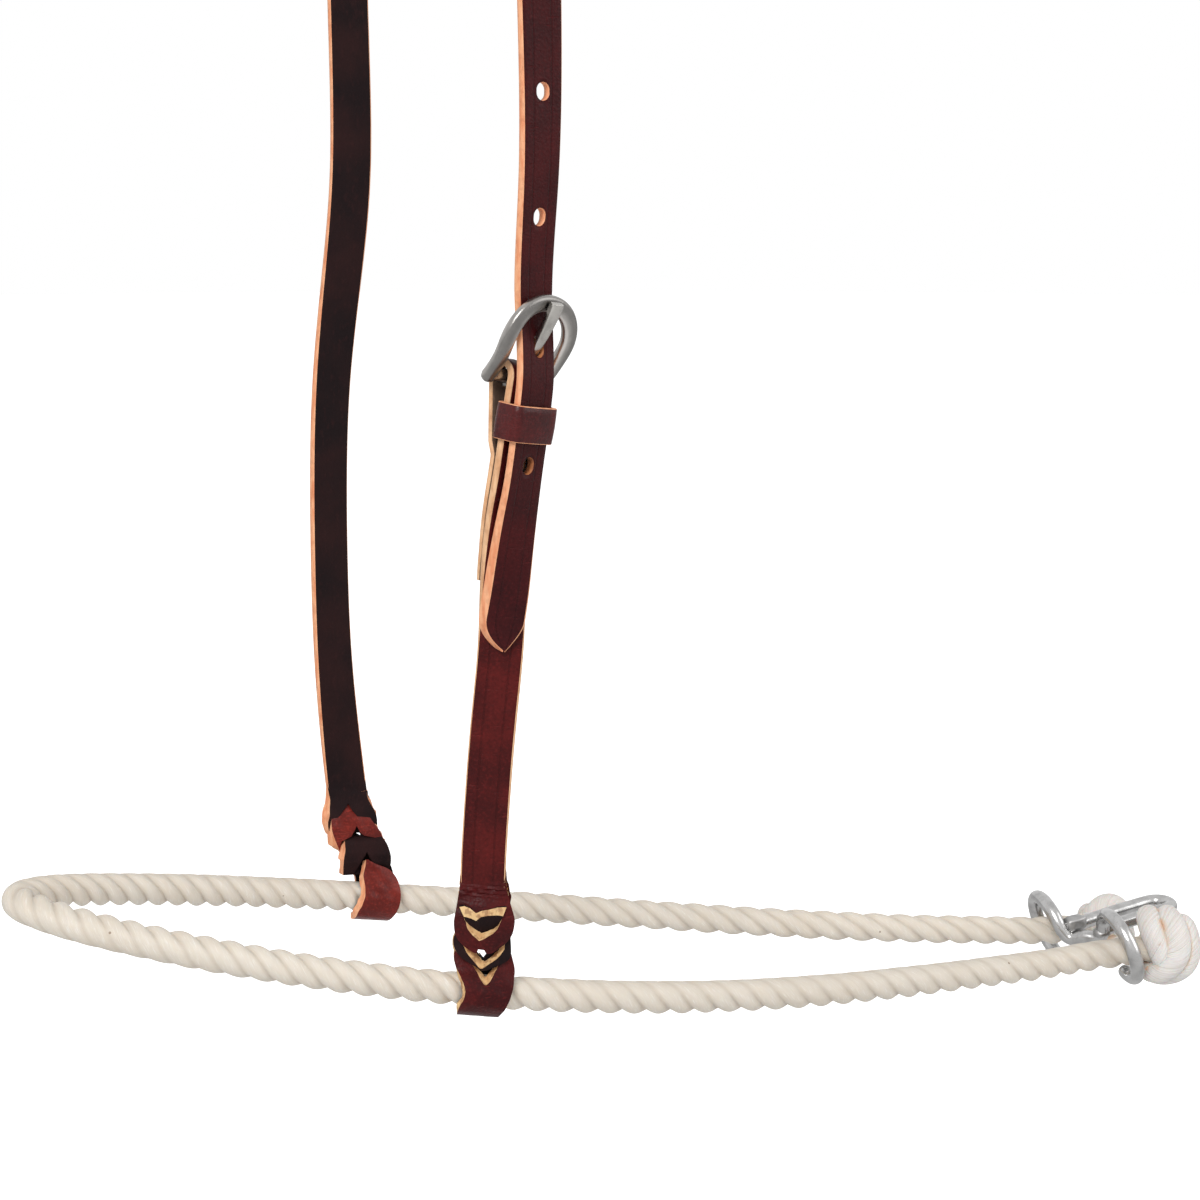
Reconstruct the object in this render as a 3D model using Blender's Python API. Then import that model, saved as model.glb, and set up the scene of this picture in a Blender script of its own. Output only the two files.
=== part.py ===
"""A rope noseband on its leather headstall, built at real size in metres.

The horse faces -X, its left side is -Y, and +Z is up. The origin is the middle of the crown's
underside, where the strap lies behind the ears and carries everything else.
"""
import math

import bmesh
import bpy
import numpy as np
from mathutils import Vector

MM = 0.001

# General
GAP = 0.3 * MM
ROUND_SIDES = 12
CUT_REACH = 5 * MM

# Leather
STRAP_WIDTH = 12.7 * MM
STRAP_THICKNESS = 2.4 * MM
STRAP_CHAMFER = 0.4 * MM
STRAP_STEP = 6 * MM
LAYER_SLACK = 0.35 * MM

# Headstall
HEADSTALL_DROP = 430 * MM
CROWN_SPREAD = 130 * MM
CROWN_TURN = math.radians(4.7)
CROWN_REST_LENGTH = 20 * MM
CROWN_BACK = 5 * MM

# Rope, with its route from the nose to the near knot: behind the nose, then half the width
ROPE_DIAMETER = 9.7 * MM
ROPE_POINTS = 62
NOSE_REACH = 122.5 * MM
ROPE_DROOP = math.radians(10.8)
ROPE_LIFT = 0.262
ROPE_HALF_ROUTE = [
    (0.0, 0.0), (4.0, 8.9), (16.0, 19.6), (36.0, 30.1), (70.0, 41.8), (120.0, 49.8),
    (180.0, 48.8), (250.0, 37.4), (310.0, 24.4), (337.0, 19.2), (356.0, 16.9), (370.3, 18.4),
]
NEAR_END_RISE = 2.0 * MM
FAR_END_RISE = -1.0 * MM
NEAR_END_SHIFT = -3.4 * MM
FAR_END_SHIFT = 0.6 * MM
END_RISE_LENGTH = 45 * MM

# Hangers, the loops and braids that hold the rope
LOOP_CLEARANCE = 0.5 * MM
HANGER_FLEX_HEIGHT = 22 * MM
HANGER_HEAD_RADIUS = 9.0 * MM
BRAID_HALF_WIDTH = 8.5 * MM
BRAID_DEPTH = 7.2 * MM
FLEX_GAP = 0.4 * MM

# Buckle
BAR_HEIGHT = 175.4 * MM
BAR_RADIUS = 2.0 * MM
BAR_HALF_LENGTH = 9.8 * MM
FRAME_LEAN = math.radians(22)
FRAME_YAW = math.radians(-5)
FRAME_ARCH = 1.9 * MM
FRAME_LENGTH = 22.9 * MM
FRAME_HALF_WIDTH = 10.3 * MM
FRAME_STOCK_WIDTH = 4.8 * MM
FRAME_STOCK_DEPTH = 3.0 * MM
BAR_SLACK = 0.6 * MM

# Tongue
TONGUE_EYE_WALL = 0.8 * MM
TONGUE_EYE_WIDTH = 3.6 * MM
TONGUE_WIDTH = 3.2 * MM
TONGUE_DEPTH = 2.2 * MM
TONGUE_SLOT_MARGIN = 0.5 * MM
TONGUE_HOLE_WIDTH = 5.0 * MM
TONGUE_HOLE_LENGTH = 9.8 * MM
TONGUE_HOLE_SHIFT = 0.85

# Billet, the punched and pointed end of the crown strap
BILLET_END_HEIGHT = 100.5 * MM
BILLET_STAND_OFF = 4.2 * MM
BILLET_FADE = 22 * MM
BILLET_TIP_LENGTH = 11 * MM
BILLET_HOLE_RADIUS = 2.5 * MM
BILLET_HOLE_HEIGHTS = [152.8 * MM, 219.1 * MM, 252.0 * MM]

# Turned-back end of the near cheek strap
FOLD_END_HEIGHT = 120 * MM
FOLD_THICKNESS = 1.5 * MM
FOLD_SLACK = 0.5 * MM
FOLD_CURL = 1.0 * MM
FOLD_CURL_LENGTH = 8 * MM

# Two-part leather screws
SCREW_HEIGHTS = [153.2 * MM, 170.6 * MM]
POST_RADIUS = 1.4 * MM
POST_BORE_RADIUS = 1.0 * MM
SCREW_SHANK_RADIUS = 0.7 * MM
SCREW_HEAD_RADIUS = 3.4 * MM
SCREW_HEAD_DEPTH = 1.1 * MM
POST_FLOOR = 0.8 * MM

# Keeper
KEEPER_THICKNESS = 1.3 * MM
KEEPER_HEIGHT = 10.0 * MM
KEEPER_MIDDLE = 163.9 * MM
KEEPER_CLEARANCE = 0.35 * MM
KEEPER_TRAVEL_DOWN = 1.0 * MM

# Ring wire and tie-down loop
WIRE_RADIUS = 2.38 * MM
RING_RADIUS = 11.3 * MM
RING_SIDE = 17.0 * MM
RING_LEAN = math.radians(20)
RING_TURN = math.radians(10.3)
NEAR_RING_PLACE = 362.8 * MM
FAR_RING_PLACE = 357.5 * MM
NEAR_RING_RISE = 1.9 * MM
FAR_RING_RISE = 1.1 * MM
RING_CUT_ANGLE = math.radians(247)
RING_LEAVE_ANGLE = math.radians(148)
TIE_LOOP_RADIUS = 5.0 * MM
TIE_LOOP_LENGTH = 33.8 * MM
TIE_LOOP_PITCH = math.radians(8.5)
TIE_LOOP_SAG = 0.4 * MM
TIE_LOOP_RISE = 2.8 * MM

# Knots
NEAR_KNOT_SIZE = (12.0 * MM, 12.0 * MM, 13.9 * MM)
FAR_KNOT_SIZE = (11.5 * MM, 12.0 * MM, 12.6 * MM)
NEAR_KNOT_RISE = 0.6 * MM
FAR_KNOT_RISE = -1.0 * MM
KNOT_SEAT = 0.95
KNOT_LOBE = 0.045
KNOT_STRANDS = 3


def clear_scene():
    for thing in list(bpy.data.objects):
        bpy.data.objects.remove(thing)


def material(name, colour, roughness, metallic=0.0):
    made = bpy.data.materials.new(name)
    made.use_nodes = True
    shader = made.node_tree.nodes["Principled BSDF"]
    shader.inputs["Base Color"].default_value = (*colour, 1.0)
    shader.inputs["Roughness"].default_value = roughness
    shader.inputs["Metallic"].default_value = metallic
    return made


def unit(vector):
    vector = np.asarray(vector, float)
    return vector / np.linalg.norm(vector)


def smooth_curve(points, count):
    """Even points on a natural cubic spline through the given ones."""
    points = np.asarray(points, float)
    reach = np.concatenate([[0.0], np.cumsum(np.linalg.norm(np.diff(points, axis=0), axis=1))])
    step = np.diff(reach)
    size = len(points)
    matrix = np.zeros((size, size))
    right = np.zeros_like(points)
    matrix[0, 0] = matrix[-1, -1] = 1.0
    for i in range(1, size - 1):
        matrix[i, i - 1] = step[i - 1]
        matrix[i, i] = 2.0 * (step[i - 1] + step[i])
        matrix[i, i + 1] = step[i]
        slope_after = (points[i + 1] - points[i]) / step[i]
        slope_before = (points[i] - points[i - 1]) / step[i - 1]
        right[i] = 6.0 * (slope_after - slope_before)
    bend = np.linalg.solve(matrix, right)

    def at(distance):
        i = min(max(int(np.searchsorted(reach, distance)) - 1, 0), size - 2)
        after = (distance - reach[i]) / step[i]
        before = 1.0 - after
        lift = ((before ** 3 - before) * bend[i] + (after ** 3 - after) * bend[i + 1]) * step[i] ** 2 / 6.0
        return before * points[i] + after * points[i + 1] + lift

    fine = np.array([at(d) for d in np.linspace(0.0, reach[-1], 20 * size)])
    run = np.concatenate([[0.0], np.cumsum(np.linalg.norm(np.diff(fine, axis=0), axis=1))])
    wanted = np.linspace(0.0, run[-1], count)
    return np.stack([np.interp(wanted, run, fine[:, axis]) for axis in range(fine.shape[1])], axis=1)


def add_object(name, vertices, faces, origin, finish, smooth_angle=35):
    mesh = bpy.data.meshes.new(name)
    origin = np.asarray(origin, float)
    mesh.from_pydata([tuple(np.asarray(v, float) - origin) for v in vertices], [], faces)
    work = bmesh.new()
    work.from_mesh(mesh)
    bmesh.ops.recalc_face_normals(work, faces=work.faces)
    work.to_mesh(mesh)
    work.free()
    mesh.shade_smooth()
    mesh.set_sharp_from_angle(angle=math.radians(smooth_angle))
    made = bpy.data.objects.new(name, mesh)
    made.location = origin
    bpy.context.collection.objects.link(made)
    if finish:
        made.data.materials.append(finish)
    return made


def skin(rings, closed=False):
    """Vertices and faces through rings of equal size; open runs get end caps."""
    sides = len(rings[0])
    vertices = [v for ring in rings for v in ring]
    faces = []
    for i in range(len(rings) if closed else len(rings) - 1):
        start = i * sides
        after = ((i + 1) % len(rings)) * sides
        for k in range(sides):
            n = (k + 1) % sides
            faces.append((start + k, start + n, after + n, after + k))
    if not closed:
        faces.append(tuple(range(sides))[::-1])
        faces.append(tuple(range(len(vertices) - sides, len(vertices))))
    return vertices, faces


def make_cutter(made):
    made.hide_render = True
    made.display_type = "WIRE"
    return made


def cut(target, cutter, operation="DIFFERENCE"):
    change = target.modifiers.new(cutter.name, "BOOLEAN")
    change.operation = operation
    change.object = make_cutter(cutter)


def rod(name, start, end, radius, sides=ROUND_SIDES * 2, finish=None):
    start = np.asarray(start, float)
    end = np.asarray(end, float)
    along = unit(end - start)
    side = unit(np.cross(along, (0.31, 0.17, 0.94)))
    other = np.cross(along, side)
    angles = [2 * math.pi * k / sides for k in range(sides)]
    rings = [
        [middle + radius * (math.cos(a) * side + math.sin(a) * other) for a in angles]
        for middle in (start, end)
    ]
    return add_object(name, *skin(rings), start, finish)


def block(name, middle, axes, half_sizes):
    corners = [(-1, -1), (1, -1), (1, 1), (-1, 1)]
    rings = [
        [
            middle + axes[0] * half_sizes[0] * a + axes[1] * half_sizes[1] * b + axes[2] * half_sizes[2] * c
            for a, b in corners
        ]
        for c in (-1, 1)
    ]
    return add_object(name, *skin(rings), middle, None)


def wire(path, radius, sides, closed=False):
    """A round wire along a path, with its cross-section carried along without twist."""
    path = np.asarray(path, float)
    count = len(path)
    if closed:
        along = np.array([unit(path[(i + 1) % count] - path[i - 1]) for i in range(count)])
    else:
        along = np.gradient(path, axis=0)
        along = np.array([unit(t) for t in along])
    side = unit(np.cross(along[0], (0.13, 0.91, 0.39)))
    rings = []
    for middle, direction in zip(path, along):
        side = unit(side - direction * np.dot(side, direction))
        other = np.cross(direction, side)
        rings.append([
            middle + radius * (math.cos(a) * side + math.sin(a) * other)
            for a in (2 * math.pi * k / sides for k in range(sides))
        ])
    return skin(rings, closed)


# Rope route

def rope_height(x):
    return -math.tan(ROPE_DROOP) * x + ROPE_LIFT * x * x


def place(x, y, height):
    """A point from its place behind the hangers, its side and its height over the rope line."""
    return np.array([x - CROWN_BACK, y, height - HEADSTALL_DROP])


def rope_route():
    near = []
    far = []
    end = ROPE_HALF_ROUTE[-1][0] * MM
    for behind_nose, half_width in ROPE_HALF_ROUTE:
        x = behind_nose * MM - NOSE_REACH
        share = max(0.0, 1.0 - (end - behind_nose * MM) / END_RISE_LENGTH) ** 2
        near.append(place(x + share * NEAR_END_SHIFT, -half_width * MM, rope_height(x) + share * NEAR_END_RISE))
        far.append(place(x + share * FAR_END_SHIFT, half_width * MM, rope_height(x) + share * FAR_END_RISE))
    return near[:0:-1] + far


ROPE_PATH = smooth_curve(rope_route(), 20 * ROPE_POINTS)


def rope_at(x, side):
    """Centre and direction (towards the knot) of the rope on one side at a place behind the hangers."""
    half = ROPE_PATH[ROPE_PATH[:, 1] * side > 0]
    if side < 0:
        half = half[::-1]
    world_x = x - CROWN_BACK
    middle = np.array([world_x, np.interp(world_x, half[:, 0], half[:, 1]), np.interp(world_x, half[:, 0], half[:, 2])])
    ahead = world_x + 2 * MM
    after = np.array([ahead, np.interp(ahead, half[:, 0], half[:, 1]), np.interp(ahead, half[:, 0], half[:, 2])])
    return middle, unit(after - middle)


def build_rope(finish):
    curve = bpy.data.curves.new("noseband_rope", "CURVE")
    curve.dimensions = "3D"
    curve.bevel_depth = ROPE_DIAMETER / 2
    curve.bevel_resolution = 4
    curve.use_fill_caps = True
    spline = curve.splines.new("POLY")
    points = smooth_curve(ROPE_PATH, ROPE_POINTS)
    origin = Vector(place(0.0, 0.0, 0.0))
    spline.points.add(len(points) - 1)
    for point, where in zip(spline.points, points):
        point.co = (*(Vector(where) - origin), 1.0)
    spline.use_smooth = True
    curve.materials.append(finish)
    made = bpy.data.objects.new("noseband_rope", curve)
    made.location = origin
    bpy.context.collection.objects.link(made)
    length = np.linalg.norm(np.diff(ROPE_PATH, axis=0), axis=1).sum()
    print(f"rope length between the knots {length:.4f} m")


# Strap lines: height over the rope, place behind the hangers, share of the crown's spread, turn of the face

NEAR_LINE = [
    (0, 0.0, 0.0, -4), (12, -1.1, 0.03, -10), (22, -1.5, 0.06, -15), (34, -1.5, 0.08, -21),
    (50, -0.6, 0.10, -26), (79, 1.4, 0.20, -27), (97, 2.9, 0.28, -25), (113, 3.3, 0.37, -11),
    (128, 3.5, 0.43, 6), (140, 4.2, 0.49, 17), (150, 5.3, 0.55, 23), (162, 7.0, 0.60, 23),
    (170, 8.3, 0.62, 23), (175.4, 9.2, 0.63, 23),
]
FAR_LINE = [
    (0, 0.8, 0.0, 3), (12, -2.9, 0.08, 0), (22, -6.3, 0.20, -3), (34, -7.9, 0.30, -4),
    (50, -9.1, 0.40, 2), (79, -10.6, 0.54, 12), (110, -10.6, 0.67, 15), (140, -9.8, 0.76, 15),
    (165, -8.2, 0.81, 13), (196, -4.2, 0.87, 5), (227, -0.4, 0.93, -2), (262, 0.4, 0.98, 1),
    (300, 0.0, 1.0, 4), (365, -0.3, 1.0, 4.7),
]
BILLET_LINE = [
    (101, 1.2, 0.45, -24), (113, 2.7, 0.51, -11), (128, 4.6, 0.62, 6), (140, 6.0, 0.70, 17),
    (150, 7.3, 0.79, 23), (170, 9.7, 0.80, 23), (187, 10.9, 0.71, 24), (200, 10.6, 0.76, 23),
    (228, 11.0, 0.96, 19), (262, 11.4, 1.0, 12), (300, 10.8, 1.0, 7), (365, 10.3, 1.0, 4.7),
]


def smooth_line(line):
    """A strap line in metres and radians, read closely from a smooth curve."""
    rows = smooth_curve(line, 400)
    return rows * np.array([MM, MM, 1.0, math.radians(1.0)])


NEAR_CURVE = smooth_line(NEAR_LINE)
FAR_CURVE = smooth_line(FAR_LINE)
BILLET_CURVE = smooth_line(BILLET_LINE)


def line_values(curve, height):
    """Place behind the hangers, half spread and turn of a strap's face at a height."""
    x, share, turn = (np.interp(height, curve[:, 0], curve[:, k]) for k in (1, 2, 3))
    low = -rope_at(0.0, -1)[0][1]
    return x, low + (CROWN_SPREAD / 2 - low) * share, turn


def strap_middle(curve, side, height):
    x, spread, _ = line_values(curve, height)
    return place(x, side * spread, height)


def strap_frame(curve, side, height):
    """Middle of a cheek strap at a height, with its directions across, outward and along (up)."""
    reach = 2 * MM
    top = curve[-1, 0]
    low = min(max(height - reach, 0.0), top - 2 * reach)
    along = unit(strap_middle(curve, side, low + 2 * reach) - strap_middle(curve, side, low))
    turn = line_values(curve, height)[2]
    across = np.array([math.cos(turn), math.sin(turn), 0.0])
    across = unit(across - along * np.dot(across, along))
    outward = np.cross(along, across) * side
    return strap_middle(curve, side, height), across, outward, along


def cheek_frame(height):
    return strap_frame(NEAR_CURVE, -1, height)


def ribbon(name, middles, acrosses, widths, thicknesses, origin, finish):
    """A strap of flat leather with chamfered edges along a path."""
    middles = np.asarray(middles, float)
    along = np.gradient(middles, axis=0)
    rings = []
    for middle, direction, across, width, thickness in zip(middles, along, acrosses, widths, thicknesses):
        direction = unit(direction)
        across = unit(across - direction * np.dot(across, direction))
        through = np.cross(direction, across)
        half = width / 2
        deep = thickness / 2
        edge = min(STRAP_CHAMFER, half * 0.5)
        outline = [
            (half, deep - edge), (half - edge, deep), (edge - half, deep), (-half, deep - edge),
            (-half, edge - deep), (edge - half, -deep), (half - edge, -deep), (half, edge - deep),
        ]
        rings.append([middle + across * a + through * b for a, b in outline])
    return add_object(name, *skin(rings), origin, finish)


def even_path(middles, acrosses, step):
    """Points at an even step along a fine path, with their width directions."""
    middles = np.asarray(middles, float)
    acrosses = np.asarray(acrosses, float)
    run = np.concatenate([[0.0], np.cumsum(np.linalg.norm(np.diff(middles, axis=0), axis=1))])
    count = max(2, int(round(run[-1] / step)) + 1)
    wanted = np.linspace(0.0, run[-1], count)
    new_middles = np.stack([np.interp(wanted, run, middles[:, k]) for k in range(3)], axis=1)
    new_acrosses = np.stack([np.interp(wanted, run, acrosses[:, k]) for k in range(3)], axis=1)
    return new_middles, new_acrosses, run[-1] - wanted


def smooth_rows(rows, passes=3):
    rows = np.array(rows, float)
    for _ in range(passes):
        rows[1:-1] = 0.25 * rows[:-2] + 0.5 * rows[1:-1] + 0.25 * rows[2:]
    return rows


def flex_axis():
    """The line through both braids about which the noseband swings."""
    near = strap_middle(NEAR_CURVE, -1, HANGER_FLEX_HEIGHT)
    far = strap_middle(FAR_CURVE, 1, HANGER_FLEX_HEIGHT)
    return near, far, unit(far - near)


def flex_cutter(name, middle):
    axis = flex_axis()[2]
    reach = 25 * MM
    return rod(name, middle - axis * reach, middle + axis * reach, HANGER_HEAD_RADIUS + FLEX_GAP, sides=48)


def billet_stand_off(height):
    """How far the billet's middle lies outside the cheek strap's middle."""
    pressed = STRAP_THICKNESS + LAYER_SLACK
    share = min(max((height - BILLET_END_HEIGHT - 22 * MM) / (26 * MM), 0.0), 1.0)
    return pressed + (BILLET_STAND_OFF - pressed) * share * share * (3 - 2 * share)


def billet_frame(height):
    """Middle of the billet at a height, with its directions across, outward and along (up)."""
    x, spread, turn = line_values(BILLET_CURVE, height)
    if height <= BAR_HEIGHT:
        under, across, outward, along = cheek_frame(height)
        middle = under + outward * billet_stand_off(height)
        middle = middle + across * (x - CROWN_BACK - middle[0]) / across[0]
        return middle, across, outward, along
    low = line_values(BILLET_CURVE, BAR_HEIGHT)[1]
    start = -billet_frame(BAR_HEIGHT)[0][1]
    fade = max(0.0, 1.0 - (height - BAR_HEIGHT) / BILLET_FADE)
    lean = cheek_frame(BAR_HEIGHT)[3]
    rise = unit(lean * fade + np.array([0.0, 0.0, 1.0 - fade]))
    across = np.array([math.cos(turn), math.sin(turn), 0.0])
    across = unit(across - rise * np.dot(across, rise))
    outward = np.cross(across, rise)
    middle = place(x, -spread - (start - low) * fade, height)
    return middle, across, outward, rise


def crown_arc(count=400):
    """The strap's middle over the poll, from the far side to the near side, flat in the middle."""
    far_side = np.array([-math.sin(CROWN_TURN), math.cos(CROWN_TURN), 0.0])
    across = np.array([math.cos(CROWN_TURN), math.sin(CROWN_TURN), 0.0])
    radius = CROWN_SPREAD / 2
    flat = CROWN_REST_LENGTH / 2
    middles = []
    for side in (1, -1):
        for i in range(count + 1):
            angle = math.pi / 2 * (i if side > 0 else count - i) / count
            reach = side * (flat + (radius - flat) * math.cos(angle))
            height = STRAP_THICKNESS / 2 - radius * (1 - math.sin(angle))
            middles.append(far_side * reach + np.array([0.0, 0.0, height]))
    return middles, [across] * len(middles)


def crown_path():
    """Middles and width directions of the whole crown strap, from the far braid to the billet's tip."""
    spring = HEADSTALL_DROP - CROWN_SPREAD / 2
    start = HANGER_FLEX_HEIGHT + HANGER_HEAD_RADIUS * 0.55
    middles = []
    acrosses = []
    for height in np.linspace(start, spring - 8 * MM, 110):
        middle, across = strap_frame(FAR_CURVE, 1, height)[:2]
        middles.append(middle)
        acrosses.append(across)
    arc_middles, arc_acrosses = crown_arc()
    middles += arc_middles
    acrosses += arc_acrosses
    for height in np.linspace(spring - 8 * MM, BILLET_END_HEIGHT, 110):
        middle, across = billet_frame(height)[:2]
        middles.append(middle)
        acrosses.append(across)
    return smooth_rows(middles), smooth_rows(acrosses)


def pointed_widths(left):
    """The strap's width by the distance left to the pointed tip."""
    widths = []
    for distance in left:
        share = min(distance / BILLET_TIP_LENGTH, 1.0)
        widths.append(STRAP_WIDTH * (0.22 + 0.78 * math.sin(share * math.pi / 2) ** 0.9))
    return widths


def tongue_hole_height():
    along = buckle_axes()[3]
    return BAR_HEIGHT + tongue_crossing()[1] * float(along[2])


def build_crown_strap(finish):
    middles, acrosses = crown_path()
    middles, acrosses, left = even_path(middles, acrosses, STRAP_STEP)
    tip = [0.6, 0.3, 0.12]
    extra = [len(middles) - 1 - k for k in tip]
    index = np.arange(len(middles))
    wanted = np.sort(np.concatenate([index, extra]))
    middles = np.stack([np.interp(wanted, index, middles[:, k]) for k in range(3)], axis=1)
    acrosses = np.stack([np.interp(wanted, index, acrosses[:, k]) for k in range(3)], axis=1)
    left = np.interp(wanted, index, left)
    strap = ribbon("crown_strap", middles, acrosses, pointed_widths(left), [STRAP_THICKNESS] * len(left),
                   (0.0, 0.0, 0.0), finish)
    cut(strap, flex_cutter("far_flex_cut", flex_axis()[1]))
    for height in BILLET_HOLE_HEIGHTS:
        middle, _, outward, _ = billet_frame(height)
        cut(strap, rod(f"billet_hole_cut_{round(height / MM)}", middle - outward * 4 * MM,
                       middle + outward * 4 * MM, BILLET_HOLE_RADIUS))
    middle, across, outward, up = billet_frame(tongue_hole_height())
    middle = middle - across * TONGUE_HOLE_SHIFT * np.dot(middle - buckle_axes()[0], across)
    reach = TONGUE_HOLE_LENGTH / 2 - TONGUE_HOLE_WIDTH / 2
    rings = []
    for depth in (-5 * MM, 5 * MM):
        ring = []
        for k in range(ROUND_SIDES * 2):
            angle = 2 * math.pi * (k + 0.5) / (ROUND_SIDES * 2)
            rise = reach if math.sin(angle) > 0 else -reach
            radius = TONGUE_HOLE_WIDTH / 2
            ring.append(middle + outward * depth + across * radius * math.cos(angle)
                        + up * (radius * math.sin(angle) + rise))
        rings.append(ring)
    cut(strap, add_object("tongue_hole_cut", *skin(rings), middle, None))


# Buckle place: its own axes are along the bar, up the leaning frame and out of its face

def buckle_axes():
    """Bar centre, along the bar, outward from the cheek, and up the strap."""
    outer_leg, across, outward, along = cheek_frame(BAR_HEIGHT)
    centre = outer_leg - outward * (BAR_RADIUS + BAR_SLACK + STRAP_THICKNESS / 2)
    return centre, across, outward, along


def buckle_point(a, out, up):
    centre, across, outward, rise = buckle_axes()
    return centre + across * a + outward * out + rise * up


def frame_axes():
    """The buckle's own directions, turned a little about the strap it hangs on."""
    centre, across, outward, rise = buckle_axes()
    turned = across * math.cos(FRAME_YAW) - outward * math.sin(FRAME_YAW)
    return centre, turned, np.cross(turned, rise), rise


def lean_axes():
    centre, across, outward, rise = frame_axes()
    along = math.cos(FRAME_LEAN) * rise + math.sin(FRAME_LEAN) * outward
    face = math.cos(FRAME_LEAN) * outward - math.sin(FRAME_LEAN) * rise
    return centre, across, along, face


def fold_lay():
    """Distance between the middles of the cheek strap and its turned-back end where they touch."""
    return (STRAP_THICKNESS + FOLD_THICKNESS) / 2 + LAYER_SLACK


def fold_offset(height):
    """How far the turned-back end lies inside the cheek strap's middle."""
    beside_bar = 2 * (BAR_RADIUS + BAR_SLACK) + fold_lay() - LAYER_SLACK + FOLD_SLACK
    beside_keeper = fold_lay() + KEEPER_THICKNESS + LAYER_SLACK
    keeper_low = KEEPER_MIDDLE - KEEPER_HEIGHT / 2
    heights = [
        FOLD_END_HEIGHT, FOLD_END_HEIGHT + FOLD_CURL_LENGTH, SCREW_HEIGHTS[0] + SCREW_HEAD_RADIUS / 3,
        keeper_low - KEEPER_TRAVEL_DOWN - GAP, keeper_low, BAR_HEIGHT,
    ]
    offsets = [
        fold_lay() + FOLD_CURL, fold_lay(), fold_lay(), beside_keeper, beside_keeper + GAP, beside_bar,
    ]
    return np.interp(height, heights, offsets)


def near_cheek_path():
    """From the near braid up over the buckle's bar and down inside to the turned-back end."""
    start = HANGER_FLEX_HEIGHT + HANGER_HEAD_RADIUS * 0.55
    middles = []
    acrosses = []
    thicknesses = []
    for height in np.linspace(start, BAR_HEIGHT, 90):
        middle, across = cheek_frame(height)[:2]
        middles.append(middle)
        acrosses.append(across)
        thicknesses.append(STRAP_THICKNESS)
    centre, across, outward, rise = buckle_axes()
    steps = 12
    for k in range(1, steps):
        angle = math.pi * k / steps
        thickness = STRAP_THICKNESS + (FOLD_THICKNESS - STRAP_THICKNESS) * k / steps
        radius = BAR_RADIUS + BAR_SLACK + thickness / 2 + FOLD_SLACK * k / steps
        middles.append(centre + outward * radius * math.cos(angle) + rise * radius * math.sin(angle))
        acrosses.append(across)
        thicknesses.append(thickness)
    for height in np.linspace(BAR_HEIGHT, FOLD_END_HEIGHT, 40):
        middle, across, outward, _ = cheek_frame(height)
        middles.append(middle - outward * fold_offset(height))
        acrosses.append(across)
        thicknesses.append(FOLD_THICKNESS)
    return np.array(middles), np.array(acrosses), np.array(thicknesses)


def build_near_cheek(finish):
    middles, acrosses, thicknesses = near_cheek_path()
    keep = [0]
    for i in range(1, len(middles) - 1):
        before = unit(middles[i] - middles[keep[-1]])
        after = unit(middles[i + 1] - middles[i])
        far_enough = np.linalg.norm(middles[i] - middles[keep[-1]]) > STRAP_STEP
        if far_enough or np.dot(before, after) < 0.985:
            keep.append(i)
    keep.append(len(middles) - 1)
    strap = ribbon("near_cheek_strap", middles[keep], acrosses[keep], [STRAP_WIDTH] * len(keep),
                   thicknesses[keep], place(0.0, 0.0, 0.0), finish)
    cut(strap, flex_cutter("near_flex_cut", flex_axis()[0]))
    eye_radius = BAR_RADIUS + GAP + TONGUE_EYE_WALL
    slot_low = -eye_radius
    slot_high = BAR_RADIUS + BAR_SLACK + STRAP_THICKNESS + 1 * MM
    axes = buckle_axes()[1:]
    cut(strap, block("tongue_slot_cut", buckle_point(0.0, 0.0, (slot_low + slot_high) / 2), axes,
                     (TONGUE_EYE_WIDTH / 2 + TONGUE_SLOT_MARGIN, 7 * MM, (slot_high - slot_low) / 2)))
    for number, height in enumerate(SCREW_HEIGHTS):
        middle, _, outward, _ = cheek_frame(height)
        cut(strap, rod(f"screw_hole_cut_{number}", middle - outward * 12 * MM, middle + outward * 4 * MM,
                       POST_RADIUS + GAP))
        under_head = middle - outward * (fold_offset(height) + FOLD_THICKNESS / 2)
        cut(strap, rod(f"head_seat_cut_{number}", under_head, under_head - outward * 5 * MM,
                       SCREW_HEAD_RADIUS + GAP))


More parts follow.
